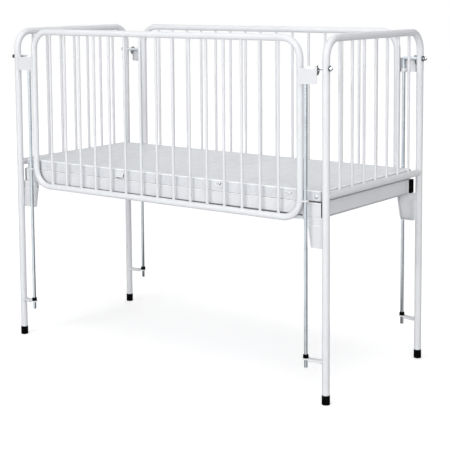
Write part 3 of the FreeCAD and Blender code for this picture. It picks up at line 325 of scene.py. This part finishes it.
# one finish for each material slot, then the coats of single parts by how their names start
finishes = {"frame_paint": makePowderCoat("white_powder_coat"), "deck_paint": makeDeckCoat(),
            "rod_zinc": makePlating("zinc_plate"), "nut_chrome": makePlating("bright_plate"),
            "bolt_zinc": makePlating("bolt_plate"), "foot_rubber": makeBlack("foot_black"),
            "bumper_rubber": makeBlack("stop_black"), "plug_plastic": makeBlack("plug_black")}
highlightPaint = makePowderCoat("highlight_powder_coat", highlightCoat)
ownCoats = {"base_beam": makePowderCoat("beam_powder_coat", sheetCoat, paintedLightLines["beam"]),
            "crossmember": makePowderCoat("member_powder_coat", powderCoat, paintedLightLines["member"], "broad"),
            "corner_bracket_front": makePowderCoat("bracket_powder_coat", sheetCoat, paintedLightLines["front_bracket"]),
            "corner_bracket_rear": makePowderCoat("rear_bracket_powder_coat", sheetCoat),
            "front_latch_plate": makePowderCoat("front_latch_powder_coat", sheetCoat, paintedLightLines["front_latch"]),
            "rear_latch_plate": makePowderCoat("rear_latch_powder_coat", sheetCoat, paintedLightLines["rear_latch"]),
            # the rods' washers take the darker plating, a painted shade
            "rod_washers": makePlating("washer_plate")}
slotOf = {part["node"]: part["material_slot"] for part in frame["record"]["subparts"]}
for name, part in frame["nodes"].items():
    own = [coat for start, coat in ownCoats.items() if name.startswith(start)]
    part.data.materials.clear()
    part.data.materials.append(own[0] if own else finishes[slotOf[name]])
print("finishes made:", len(finishes) + len(ownCoats))


def finishPiece(bm, name, slot, body, smoothAngle=35, stands=(), coat=None):
    bmesh.ops.remove_doubles(bm, verts=bm.verts, dist=nearlySame)
    bmesh.ops.recalc_face_normals(bm, faces=bm.faces)
    mesh = bpy.data.meshes.new(name)
    bm.to_mesh(mesh)
    bm.free()
    piece = bpy.data.objects.new(name, mesh)
    bpy.context.scene.collection.objects.link(piece)
    mesh.materials.append(coat or finishes[slot])
    for face in mesh.polygons:
        face.use_smooth = True
    mesh.set_sharp_from_angle(angle=math.radians(smoothAngle))
    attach(piece, body)
    if stands:
        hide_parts(*stands)
    return piece


# a shape turned round +Z from its outline of (radius, height)
def turned(outline, steps):
    bm = bmesh.new()
    points = [bm.verts.new((radius, 0, height)) for radius, height in outline]
    edges = [bm.edges.new(pair) for pair in zip(points, points[1:])]
    bmesh.ops.spin(bm, geom=points + edges, cent=(0, 0, 0), axis=(0, 0, 1), angle=2 * math.pi, steps=steps,
                   use_merge=True)
    bmesh.ops.remove_doubles(bm, verts=bm.verts, dist=nearlySame)
    return bm


def roundOff(bm, geom, size, steps, affect="EDGES"):
    bmesh.ops.bevel(bm, geom=geom, offset=size, offset_type="OFFSET", segments=steps, affect=affect,
                    profile=0.5, material=-1)


# a block with its edges along one axis rounded, or all of them
def roundedBlock(size, rounding, steps, axis=None):
    bm = bmesh.new()
    bmesh.ops.create_cube(bm, size=1, matrix=Matrix.Diagonal((*size, 1)))
    edges = [e for e in bm.edges if axis is None or e.verts[0].co[axis] * e.verts[1].co[axis] < 0]
    roundOff(bm, edges, rounding, steps)
    return bm


# adds a shape into another, and is done with it unless it is kept for more
def addInto(target, source, matrix, keep=False):
    mesh = bpy.data.meshes.new("spare")
    source.to_mesh(mesh)
    mesh.transform(matrix)
    target.from_mesh(mesh)
    bpy.data.meshes.remove(mesh)
    if not keep:
        source.free()


# weld paths drawn at the rear right corner, moved to another one
def mirrored(paths, signX, signY):
    return [([(signX * x, signY * y, z) for x, y, z in points], closed) for points, closed in paths]


weld = {"uneven": 0.16, "beat": 2.4, "angle": 60}      # a bead swells and thins by this much, at this beat


# a bead of weld along each of the paths, which are (points, closed)
def weldBead(name, paths, radius, body, slot="frame_paint", coat=None):
    line = bpy.data.curves.new(name + "_line", "CURVE")
    line.dimensions = "3D"
    line.bevel_depth = radius
    line.bevel_resolution = 1
    for points, closed in paths:
        spline = line.splines.new("POLY")
        spline.points.add(len(points) - 1)
        for count, (knot, spot) in enumerate(zip(spline.points, points)):
            knot.co = (*spot, 1)
            knot.radius = 1 + weld["uneven"] * math.sin(count * weld["beat"])
        spline.use_cyclic_u = closed
    line.use_fill_caps = True
    rope = bpy.data.objects.new(name + "_line", line)
    bpy.context.scene.collection.objects.link(rope)
    bpy.context.view_layer.update()
    mesh = bpy.data.meshes.new_from_object(rope.evaluated_get(bpy.context.evaluated_depsgraph_get()))
    bpy.data.objects.remove(rope)
    bpy.data.curves.remove(line)
    bm = bmesh.new()
    bm.from_mesh(mesh)
    bpy.data.meshes.remove(mesh)
    finishPiece(bm, name, slot, body, weld["angle"], coat=coat)


hoop = {"radius": 0.0115, "upright": 0.611, "off": 0.320, "top": 1.2005, "low": 0.608, "bars": 15,
        "pitch": 0.075}
endFrame = {"radius": 0.0125, "x": 0.7075, "y": 0.314, "rail": 1.2005, "cross": 0.691, "bars": 7,
            "pitch": 0.077}
rod = {"inset": 0.0715, "offset": 0.0105, "hole": 1.104}      # from the leg's axis, and the hole's height
rodTurn = math.atan2(rod["offset"], rod["inset"])
bar = {"radius": 0.005, "bead": 0.0009, "steps": 18}


def spacing(count, pitch):
    return [(step - (count - 1) / 2) * pitch for step in range(count)]


# the joint line of an upright bar on a level tube: the tube runs along X for a side, along Y for an end
def barJoint(x, y, height, tube, alongX, upward):
    points = []
    for step in range(bar["steps"]):
        turn = 2 * math.pi * step / bar["steps"]
        dx = bar["radius"] * math.cos(turn)
        dy = bar["radius"] * math.sin(turn)
        rise = math.sqrt(tube ** 2 - (dy if alongX else dx) ** 2)
        points.append((x + dx, y + dy, height + upward * rise))
    return points, True


for side, sign in sides.items():
    paths = []
    for x in spacing(hoop["bars"], hoop["pitch"]):
        for height, upward in ((hoop["low"], 1), (hoop["top"], -1)):
            paths.append(barJoint(x, sign * hoop["off"], height, hoop["radius"], True, upward))
    weldBead(side + "_bar_welds", paths, bar["bead"], side + "_side")
for end, sign in ends.items():
    paths = []
    for y in spacing(endFrame["bars"], endFrame["pitch"]):
        for height, upward in ((endFrame["cross"], 1), (endFrame["rail"], -1)):
            paths.append(barJoint(sign * endFrame["x"], y, height, endFrame["radius"], False, upward))
    weldBead("end_bar_welds_" + end, paths, bar["bead"], "frame")
print("bar welds made")

# welds of a frame corner, drawn at the rear right one: round the cross tube and the crossmember, up the
# bracket and its web, and along the arm
frameWeld = {"bead": 0.0016, "lift": 0.0004, "ringSteps": 36, "outerX": 0.6785, "innerX": 0.6535,
             "beamIn": 0.281, "beamLow": 0.616, "beamTop": 0.666, "corner": 0.003, "bracketFace": 0.306,
             "bracketLow": 0.515, "bracketBend": 0.588, "bracketSteps": 24, "webSteps": 10,
             "armHeights": (0.147, 0.143), "armSpread": 60, "armSteps": 12}
web = {"inner": 0.6832, "outer": 0.6998, "face": 0.3045, "sheet": 0.0025, "low": 0.5875, "top": 0.6160,
       "round": 0.0005, "steps": 2}


# up the line where a face across the cot meets the leg
def legRun(face, low, high, steps):
    x = endFrame["x"] - math.sqrt(endFrame["radius"] ** 2 - (endFrame["y"] - face) ** 2)
    return [(x, face, low + (high - low) * step / steps) for step in range(steps + 1)]


def cornerWelds():
    look = frameWeld
    x, y, radius = endFrame["x"], endFrame["y"], endFrame["radius"]
    ring = []
    for step in range(look["ringSteps"]):
        turn = 2 * math.pi * step / look["ringSteps"]
        reach = radius * abs(math.cos(turn)) + look["lift"]
        ring.append((x + radius * math.sin(turn), y - reach, endFrame["cross"] + radius * math.cos(turn)))
    inner, outer, cut = look["innerX"], look["outerX"], look["corner"]
    low, high = look["beamLow"], look["beamTop"]
    box = [(inner, low + cut), (inner, high - cut), (inner + cut, high), (outer - cut, high),
           (outer, high - cut), (outer, low + cut), (outer - cut, low), (inner + cut, low)]
    paths = [(ring, True), ([(u, look["beamIn"], w) for u, w in box], True)]
    for run in ((look["bracketFace"], look["bracketLow"], look["bracketBend"], look["bracketSteps"]),
                (web["face"], web["low"], web["top"], look["webSteps"])):
        paths.append((legRun(*run), False))
    for height in look["armHeights"]:
        arc = []
        for step in range(look["armSteps"] + 1):
            turn = math.radians(look["armSpread"]) * (2 * step / look["armSteps"] - 1) + rodTurn
            arc.append((x - radius * math.cos(turn), y + radius * math.sin(turn), height))
        paths.append((arc, False))
    return paths


for end, sign in ends.items():
    paths = mirrored(cornerWelds(), sign, -1) + mirrored(cornerWelds(), sign, 1)
    weldBead("frame_welds_" + end, paths, frameWeld["bead"], "frame")

# the web between the top of each bracket and its leg, and the edges folded down along each arm
armLip = {"from": 0.0118, "to": 0.0595, "off": 0.0086, "z": 0.1407, "radius": 0.0026}
toRod = Vector((-rod["inset"], rod["offset"])).normalized()
armPaths = []
for shift in (-armLip["off"], armLip["off"]):
    points = []
    for run in (armLip["from"], armLip["to"]):
        points.append((endFrame["x"] + toRod.x * run - toRod.y * shift,
                       endFrame["y"] + toRod.y * run + toRod.x * shift, armLip["z"]))
    armPaths.append((points, False))
for corner, (signX, signY) in corners.items():
    bm = roundedBlock((web["outer"] - web["inner"], web["sheet"], web["top"] - web["low"]), web["round"],
                      web["steps"])
    bmesh.ops.translate(bm, verts=bm.verts, vec=(signX * (web["outer"] + web["inner"]) / 2,
                                                 signY * (web["face"] - web["sheet"] / 2),
                                                 (web["top"] + web["low"]) / 2))
    coat = ownCoats["corner_bracket_" + corner.split("_")[0]]
    finishPiece(bm, "bracket_web_" + corner, "frame_paint", "frame", coat=coat)
    weldBead("arm_lips_" + corner, mirrored(armPaths, signX, signY), armLip["radius"], "frame")

# folded lip under each crossmember, in the crossmember's coat with its line of painted shade
memberLip = {"x": 0.6765, "width": 0.0040, "low": 0.6120, "high": 0.6162, "y": 0.2805, "round": 0.0012,
             "steps": 3}
for end, sign in ends.items():
    look = memberLip
    bm = roundedBlock((look["width"], 2 * look["y"], look["high"] - look["low"]), look["round"],
                      look["steps"], 1)
    bmesh.ops.translate(bm, verts=bm.verts, vec=(sign * look["x"], 0, (look["low"] + look["high"]) / 2))
    finishPiece(bm, "crossmember_lip_" + end, "frame_paint", "frame", coat=ownCoats["crossmember"])

# welds of a drop side's latch plates and lower eyes, the seam of its hoop, and the rivets of its upper eyes
sideWeld = {"bead": 0.0012, "plateIn": 0.0004, "plateLow": 1.0545, "plateTop": 1.1035, "plateFace": 0.3325,
            "plateSteps": 18, "eyeHeights": (0.6735, 0.6685), "eyeFrom": -34, "eyeSpread": 122,
            "eyeSteps": 12, "seamX": 0.025, "seamBead": 0.0005, "seamSteps": 24}
rivet = {"at": (0.6525, 0.3295, 1.0615), "steps": 16,
         "outline": [(0.0, 0.0014), (0.0014, 0.0012), (0.0026, 0.0004), (0.0026, -0.0004)]}
look = sideWeld
run = look["plateTop"] - look["plateLow"]
fittings = [([(hoop["upright"] - look["plateIn"], look["plateFace"], look["plateLow"]
               + run * step / look["plateSteps"]) for step in range(look["plateSteps"] + 1)], False)]
for height in look["eyeHeights"]:
    arc = []
    for step in range(look["eyeSteps"] + 1):
        turn = math.radians(look["eyeFrom"] + look["eyeSpread"] * step / look["eyeSteps"])
        arc.append((hoop["upright"] + hoop["radius"] * math.cos(turn),
                    hoop["off"] + hoop["radius"] * math.sin(turn), height))
    fittings.append((arc, False))
for side, sign in sides.items():
    body = side + "_side"
    weldBead(side + "_fitting_welds", mirrored(fittings, -1, sign) + mirrored(fittings, 1, sign),
             look["bead"], body)
    ring = []
    for step in range(look["seamSteps"]):
        turn = 2 * math.pi * step / look["seamSteps"]
        ring.append((look["seamX"], sign * hoop["off"] + hoop["radius"] * math.cos(turn),
                     hoop["low"] + hoop["radius"] * math.sin(turn)))
    weldBead(side + "_hoop_seam", [(ring, True)], look["seamBead"], body)
    rivets = bmesh.new()
    x, y, z = rivet["at"]
    for end in (-1, 1):
        addInto(rivets, turned(rivet["outline"], rivet["steps"]), Matrix.Translation((end * x, sign * y, z))
                @ Matrix.Rotation(math.radians(90 * sign), 4, "X"))
    finishPiece(rivets, side + "_eye_rivets", "bolt_zinc", body)

# raised edge along the top of each base tube, in a lighter copy of the coat as a painted highlight
beamEdge = {"x": 0.628, "y": 0.3057, "z": 0.6630, "radius": 0.0017}
for side, sign in sides.items():
    line = [(end * beamEdge["x"], sign * beamEdge["y"], beamEdge["z"]) for end in (-1, 1)]
    weldBead("beam_edge_" + side, [(line, False)], beamEdge["radius"], "frame", coat=highlightPaint)
print("frame and side welds made")

foot = {"outline": [(0.0, 0.0004), (0.0105, 0.0004), (0.0118, 0.0), (0.0131, 0.0004), (0.0138, 0.0014),
                    (0.0140, 0.0030), (0.01398, 0.0062), (0.0136, 0.0067), (0.0136, 0.0073),
                    (0.01396, 0.0078), (0.0139, 0.0265), (0.0137, 0.0270), (0.0137, 0.0312),
                    (0.01345, 0.0318), (0.0130, 0.0320), (0.01262, 0.0316), (0.01255, 0.0290),
                    (0.01255, 0.0050), (0.0, 0.0050)],
        "steps": 40, "angle": 40}
for corner, (signX, signY) in corners.items():
    bm = turned(foot["outline"], foot["steps"])
    bmesh.ops.translate(bm, verts=bm.verts, vec=(signX * endFrame["x"], signY * endFrame["y"], 0))
    finishPiece(bm, "rubber_foot_" + corner, "foot_rubber", "frame", foot["angle"], ["foot_" + corner])
print("feet made")

# a plug's head has a rounded rim and a shallow dish; its shank is a little smaller than the tube
plug = {"width": 0.025, "height": 0.050, "head": 0.0075, "corner": 0.003, "cornerSteps": 5, "rim": 0.0014,
        "rimSteps": 3, "panel": 0.0035, "dish": 0.0006, "endX": 0.6835, "midY": 0.2935, "midZ": 0.641,
        "shank": 0.020, "slack": 0.0018, "shankCorner": 0.0012}
for corner, (signX, signY) in corners.items():
    head = roundedBlock((plug["head"], plug["width"], plug["height"]), plug["corner"], plug["cornerSteps"], 0)
    face = max(head.faces, key=lambda f: f.calc_center_median().x)
    roundOff(head, list(face.edges), plug["rim"], plug["rimSteps"])
    face = max(head.faces, key=lambda f: f.calc_center_median().x + f.calc_area())
    bmesh.ops.inset_region(head, faces=[face], thickness=plug["panel"], depth=0)
    bmesh.ops.inset_region(head, faces=[face], thickness=plug["dish"], depth=-plug["dish"])
    size = (plug["shank"], plug["width"] - 2 * plug["slack"], plug["height"] - 2 * plug["slack"])
    shank = roundedBlock(size, plug["shankCorner"], plug["cornerSteps"], 0)
    bm = bmesh.new()
    for block, middle in ((head, plug["head"] / 2), (shank, -plug["shank"] / 2)):
        addInto(bm, block, Matrix.Translation((plug["endX"] + middle, plug["midY"], plug["midZ"])))
    bmesh.ops.scale(bm, verts=bm.verts, vec=(signX, signY, 1))
    finishPiece(bm, "end_plug_" + corner, "plug_plastic", "frame", stands=["beam_plug_" + corner])
print("beam plugs made")


# a nut standing on Z 0, its upper corners cut back
def hexagon(flats, height, chamfer):
    bm = bmesh.new()
    radius = flats / math.sqrt(3)
    bmesh.ops.create_cone(bm, cap_ends=True, segments=6, radius1=radius, radius2=radius, depth=height)
    bmesh.ops.translate(bm, verts=bm.verts, vec=(0, 0, height / 2))
    roundOff(bm, [v for v in bm.verts if v.co.z > height / 2], chamfer, 2, "VERTICES")
    return bm


# domed nut on the end of each rod, outside its leg; the hexagon takes a darker copy of the plating, a painted
# shade
acorn = {"flats": 0.014, "hex": 0.0065, "chamfer": 0.0011, "seat": 0.0140, "steps": 28, "angle": 30,
         "seam": 0.0006,
         "dome": [(0.0, 0.0127), (0.0022, 0.01235), (0.0042, 0.0113), (0.0056, 0.0098), (0.0063, 0.0082),
                  (0.0065, 0.0068), (0.0070, 0.0064), (0.0072, 0.0058)]}
nut = hexagon(acorn["flats"], acorn["hex"], acorn["chamfer"])
addInto(nut, turned(acorn["dome"], acorn["steps"]), Matrix.Identity(4))
allNuts = bmesh.new()
for signX, signY in corners.values():
    addInto(allNuts, nut, Matrix.Translation((signX * endFrame["x"], signY * endFrame["y"], rod["hole"]))
            @ Matrix.Diagonal((signX, signY, 1, 1)) @ Matrix.Rotation(rodTurn, 4, "Z")
            @ Matrix.Translation((acorn["seat"], 0, 0)) @ Matrix.Rotation(math.radians(90), 4, "Y"), True)
nut.free()
nuts = finishPiece(allNuts, "cap_nuts", "nut_chrome", "frame", acorn["angle"], ["acorn_nuts"])
# painted shade: the hexagon's faces take the darker plating
nuts.data.materials.append(makePlating("hex_plate"))
domeX = endFrame["x"] + acorn["seat"] + acorn["hex"] - acorn["seam"]
for face in nuts.data.polygons:
    face.material_index = int(abs(face.center.x) < domeX)

# screw with a round head, through the tray's side and its lug into a nut
trayScrew = {"x": 0.665, "z": 0.685, "face": 0.3055, "clamped": 0.0045, "shank": 0.006, "tip": 0.0004,
             "tipRise": 0.0005, "headSteps": 24, "shankSteps": 16, "nutFlats": 0.0099, "nutHeight": 0.0048,
             "nutChamfer": 0.0004, "angle": 30,
             "head": [(0.0, 0.0031), (0.0016, 0.00308), (0.0034, 0.0028), (0.0050, 0.0021), (0.0061, 0.0011),
                      (0.0065, 0.0003), (0.0065, 0.0), (0.0, 0.0)]}
look = trayScrew
half = look["shank"] / 2
tip = -look["clamped"] - look["shank"]
screw = turned(look["head"], look["headSteps"])
shank = turned([(half - look["tip"], tip), (half, tip + look["tipRise"]), (half, 0.0)], look["shankSteps"])
addInto(screw, shank, Matrix.Identity(4))
addInto(screw, hexagon(look["nutFlats"], look["nutHeight"], look["nutChamfer"]),
        Matrix.Translation((0, 0, -look["clamped"])) @ Matrix.Rotation(math.pi, 4, "X"))
allScrews = bmesh.new()
for signX, signY in corners.values():
    addInto(allScrews, screw, Matrix.Translation((signX * look["x"], signY * look["face"], look["z"]))
            @ Matrix.Rotation(math.radians(-90 * signY), 4, "X"), True)
screw.free()
finishPiece(allScrews, "tray_screws", "bolt_zinc", "frame", look["angle"], ["tray_bolts"])
print("nuts and screws made")

# sheet catches in the slots of the deck's sides: a black block behind each slot as painted shade, two black
# dots, and a pressed tongue in front with black lines along its lower edge as its painted shadow. A tongue is
# (x, width, z, height, lean in degrees), a shadow line is its radius and its (x, z) points.
deckCatch = {"face": 0.3055, "inner": 0.304, "z": 0.685, "spots": (-0.190, 0.267, 0.556),
             "slotShade": (0.036, 0.0024, 0.014), "dots": ((-0.021, 0.681), (-0.021, 0.6695)), "dotSteps": 12,
             "dot": [(0.0, 0.0003), (0.0013, 0.0002), (0.0016, -0.0003)],
             "sheet": 0.0012, "corner": 0.0022, "cornerSteps": 4,
             "tongues": ((-0.1910, 0.0340, 0.6815, 0.0190, 4.0), (0.2648, 0.0292, 0.6893, 0.0156, 2.5),
                         (0.5552, 0.0270, 0.6867, 0.0090, 2.0)),
             "shadowLineY": 0.3071, "shadowLineOut": 0.3081,
             "shadowLines": ((0.0012, ((-0.2097, 0.6712), (-0.1973, 0.6702), (-0.1810, 0.6714), (-0.1765, 0.6743),
                                (-0.1725, 0.6795), (-0.1705, 0.6841))),
                      (0.0017, ((0.2690, 0.6878), (0.2712, 0.6885), (0.2735, 0.6910), (0.2762, 0.6948))),
                      (0.0005, ((0.2572, 0.6945), (0.2618, 0.6883), (0.2652, 0.6925), (0.2690, 0.6886))),
                      (0.00045, ((0.5434, 0.6884), (0.5522, 0.6855), (0.5594, 0.6832), (0.5638, 0.6827),
                                 (0.5666, 0.6859), (0.5688, 0.6912)))),
             "screw": (-0.1867, 0.3066, 0.6835), "screwSteps": 20,
             "screwHead": [(0.0, 0.0013), (0.0015, 0.00125), (0.0028, 0.0006), (0.0028, 0.0)]}
look = deckCatch
for side, sign in sides.items():
    slotShadesAndDots = bmesh.new()
    for x in look["spots"]:
        middle = Matrix.Translation((x, -look["inner"] + look["slotShade"][1] / 2, look["z"]))
        bmesh.ops.create_cube(slotShadesAndDots, size=1, matrix=middle @ Matrix.Diagonal((*look["slotShade"], 1)))
    for x, z in look["dots"]:
        addInto(slotShadesAndDots, turned(look["dot"], look["dotSteps"]),
                Matrix.Translation((x, -look["face"], z)) @ Matrix.Rotation(math.radians(90), 4, "X"))
    tongues = bmesh.new()
    for x, width, z, height, lean in look["tongues"]:
        top = Matrix.Translation((0, 0, height / 2))
        addInto(tongues, roundedBlock((width, look["sheet"], height), look["corner"], look["cornerSteps"], 1),
                Matrix.Translation((x, -look["face"] - look["sheet"] / 2, z)) @ top
                @ Matrix.Rotation(math.radians(-lean), 4, "X") @ top.inverted())
    for bm in (slotShadesAndDots, tongues):
        bmesh.ops.scale(bm, verts=bm.verts, vec=(1, -sign, 1))
    # painted shade: black blocks in the slots, with the two black dots
    finishPiece(slotShadesAndDots, "deck_catch_slot_shade_and_dots_" + side, "plug_plastic", "frame")
    finishPiece(tongues, "deck_catch_" + side, "frame_paint", "frame")
    # painted shadow: black lines under the tongues
    for count, (radius, points) in enumerate(look["shadowLines"]):
        y = sign * min(look["shadowLineY"], look["shadowLineOut"] - radius)
        weldBead("deck_catch_lip_%s_%d" % (side, count + 1), [([(x, y, z) for x, z in points], False)],
                 radius, "frame", "plug_plastic")
    x, y, z = look["screw"]
    bm = turned(look["screwHead"], look["screwSteps"])
    bmesh.ops.transform(bm, verts=bm.verts, matrix=Matrix.Translation((x, sign * y, z))
                        @ Matrix.Rotation(math.radians(-90 * sign), 4, "X"))
    finishPiece(bm, "deck_catch_screw_" + side, "bolt_zinc", "frame")
print("deck catches made")

# Shiny metal sees the floor and the world by direction: bright in front, grey on the left, dark on the
# right, and dim under the cot. Lift keeps the floor white, and is less near the cot, where its shadow stays.
stage = {"floor": (0.86, 0.86, 0.865, 1), "reach": 14.0, "matt": 0.9, "liftNear": 0.41, "liftFar": 0.67,
         "liftBand": (1.6, 6.0), "under": 0.15, "underBand": (0.5, 1.0), "backdrop": 1.0, "around": 0.40,
         "mid": 0.55, "dark": 0.28, "darkSide": (0.75, 0.66, 0.0), "darkBand": (-0.05, 0.55),
         "brightSide": (-0.20, -0.98, 0.0), "brightBand": (0.55, 0.86), "skyBand": (0.0, 0.25)}


def studioLevel(tree, direction, path):
    unit = addNode(tree, "ShaderNodeVectorMath", {"operation": "NORMALIZE"})
    tree.links.new(direction, unit.inputs[0])
    levels = []
    for side, low, high in (("dark", stage["mid"], stage["dark"]), ("bright", 0.0, 1.0 - stage["mid"])):
        made = addNode(tree, "ShaderNodeVectorMath", {"operation": "DOT_PRODUCT"}, {1: stage[side + "Side"]})
        tree.links.new(unit.outputs[0], made.inputs[0])
        levels.append(spread(tree, made.outputs["Value"], low, high, *stage[side + "Band"]))
    parts = addNode(tree, "ShaderNodeSeparateXYZ")
    tree.links.new(unit.outputs[0], parts.inputs[0])
    above = spread(tree, parts.outputs["Z"], 0.0, 1.0, *stage["skyBand"])
    seen = both(tree, "MAXIMUM", both(tree, "ADD", *levels), above)
    less = both(tree, "MULTIPLY", both(tree, "SUBTRACT", 1.0, seen), path.outputs["Is Glossy Ray"])
    return both(tree, "SUBTRACT", 1.0, less)


# 1 for rays that come from the camera, from a clear surface or from a shiny one
def seenRays(tree, path):
    total = path.outputs["Is Glossy Ray"]
    for name in ("Is Camera Ray", "Is Transmission Ray"):
        total = both(tree, "MAXIMUM", total, path.outputs[name])
    return total


def makeFloorPaper():
    values = {"Roughness": stage["matt"], "Specular IOR Level": 0.0, "Emission Color": (1, 1, 1, 1)}
    made, tree, shader, place = startMaterial("studio_paper", values)
    path = addNode(tree, "ShaderNodeLightPath")
    glossy = path.outputs["Is Glossy Ray"]
    away = addNode(tree, "ShaderNodeVectorMath", {"operation": "LENGTH"})
    tree.links.new(place, away.inputs[0])
    away = away.outputs["Value"]
    plain = both(tree, "SUBTRACT", 1.0, glossy)
    tree.links.new(mixColour(tree, "MULTIPLY", 1.0, stage["floor"], plain), shader.inputs["Base Color"])
    under = both(tree, "MULTIPLY", spread(tree, away, 1.0 - stage["under"], 0.0, *stage["underBand"]), glossy)
    shade = both(tree, "MULTIPLY", studioLevel(tree, place, path), both(tree, "SUBTRACT", 1.0, under))
    lift = spread(tree, away, stage["liftNear"], stage["liftFar"], *stage["liftBand"])
    lift = both(tree, "MULTIPLY", seenRays(tree, path), both(tree, "MAXIMUM", lift, glossy))
    tree.links.new(both(tree, "MULTIPLY", lift, shade), shader.inputs["Emission Strength"])
    return made


bpy.ops.mesh.primitive_plane_add(size=2 * stage["reach"])
floor = bpy.context.object
floor.name = "studio_floor"
floor.data.materials.append(makeFloorPaper())

world = bpy.data.worlds.new("studio")
bpy.context.scene.world = world
world.use_nodes = True
sky = world.node_tree
backdrop = sky.nodes["Background"]
backdrop.inputs["Color"].default_value = (1, 1, 1, 1)
skyLevel = addNode(sky, "ShaderNodeMapRange", values={"To Min": stage["around"], "To Max": stage["backdrop"]})
skyPlace = addNode(sky, "ShaderNodeTexCoord")
skyPath = addNode(sky, "ShaderNodeLightPath")
sky.links.new(seenRays(sky, skyPath), skyLevel.inputs["Value"])
skyShade = studioLevel(sky, skyPlace.outputs["Generated"], skyPath)
sky.links.new(both(sky, "MULTIPLY", skyLevel.outputs["Result"], skyShade), backdrop.inputs["Strength"])

lamps = {"key_box": {"at": (-1.35, -5.1, 2.65), "aim": (0.0, 0.0, 0.7), "size": 0.6, "watts": 43.5},
         "right_box": {"at": (4.8, -5.4, 2.95), "aim": (0.0, 0.0, 0.7), "size": 3.75, "watts": 165.0},
         "front_box": {"at": (-1.2, -6.9, 3.4), "aim": (0.0, 0.0, 0.7), "size": 3.0, "watts": 59.5},
         "top_box": {"at": (0.45, -0.9, 4.8), "aim": (0.0, 0.0, 0.6), "size": 3.3, "watts": 66.0},
         "back_box": {"at": (-2.6, 4.6, 4.2), "aim": (0.0, 0.0, 0.7), "size": 3.5, "watts": 45.0}}
for name, lamp in lamps.items():
    light = bpy.data.lights.new(name, "AREA")
    light.size = lamp["size"]
    light.energy = lamp["watts"]
    holder = bpy.data.objects.new(name, light)
    bpy.context.scene.collection.objects.link(holder)
    holder.location = lamp["at"]
    beam = Vector(lamp["aim"]) - Vector(lamp["at"])
    holder.rotation_euler = beam.to_track_quat("-Z", "Y").to_euler()

# focal length and rise are in pixels of a square frame, angles in degrees
view = {"focal": 1215.59, "frame": 450, "film": 36, "yaw": 37.180, "pitch": 6.002, "roll": -0.4386,
        "at": (2.7873, -3.5917, 1.3645), "rise": 110}
yaw, pitch, roll = (math.radians(view[key]) for key in ("yaw", "pitch", "roll"))
ahead = Vector((-math.sin(yaw) * math.cos(pitch), math.cos(yaw) * math.cos(pitch), -math.sin(pitch)))
level = ahead.cross(Vector((0, 0, 1))).normalized()
upward = level.cross(ahead)
acrossView = level * math.cos(roll) + upward * math.sin(roll)
upView = upward * math.cos(roll) - level * math.sin(roll)
camera = bpy.data.cameras.new("camera")
camera.sensor_width = view["film"]
camera.lens = view["focal"] / view["frame"] * view["film"]
camera.shift_y = -view["rise"] / view["frame"]
viewer = bpy.data.objects.new("camera", camera)
bpy.context.scene.collection.objects.link(viewer)
viewer.matrix_world = (Matrix.Translation(view["at"])
                       @ Matrix((acrossView, upView, -ahead)).transposed().to_4x4())
bpy.context.scene.camera = viewer
bpy.context.scene.view_settings.view_transform = "Standard"
print("stage, lamps and camera set")
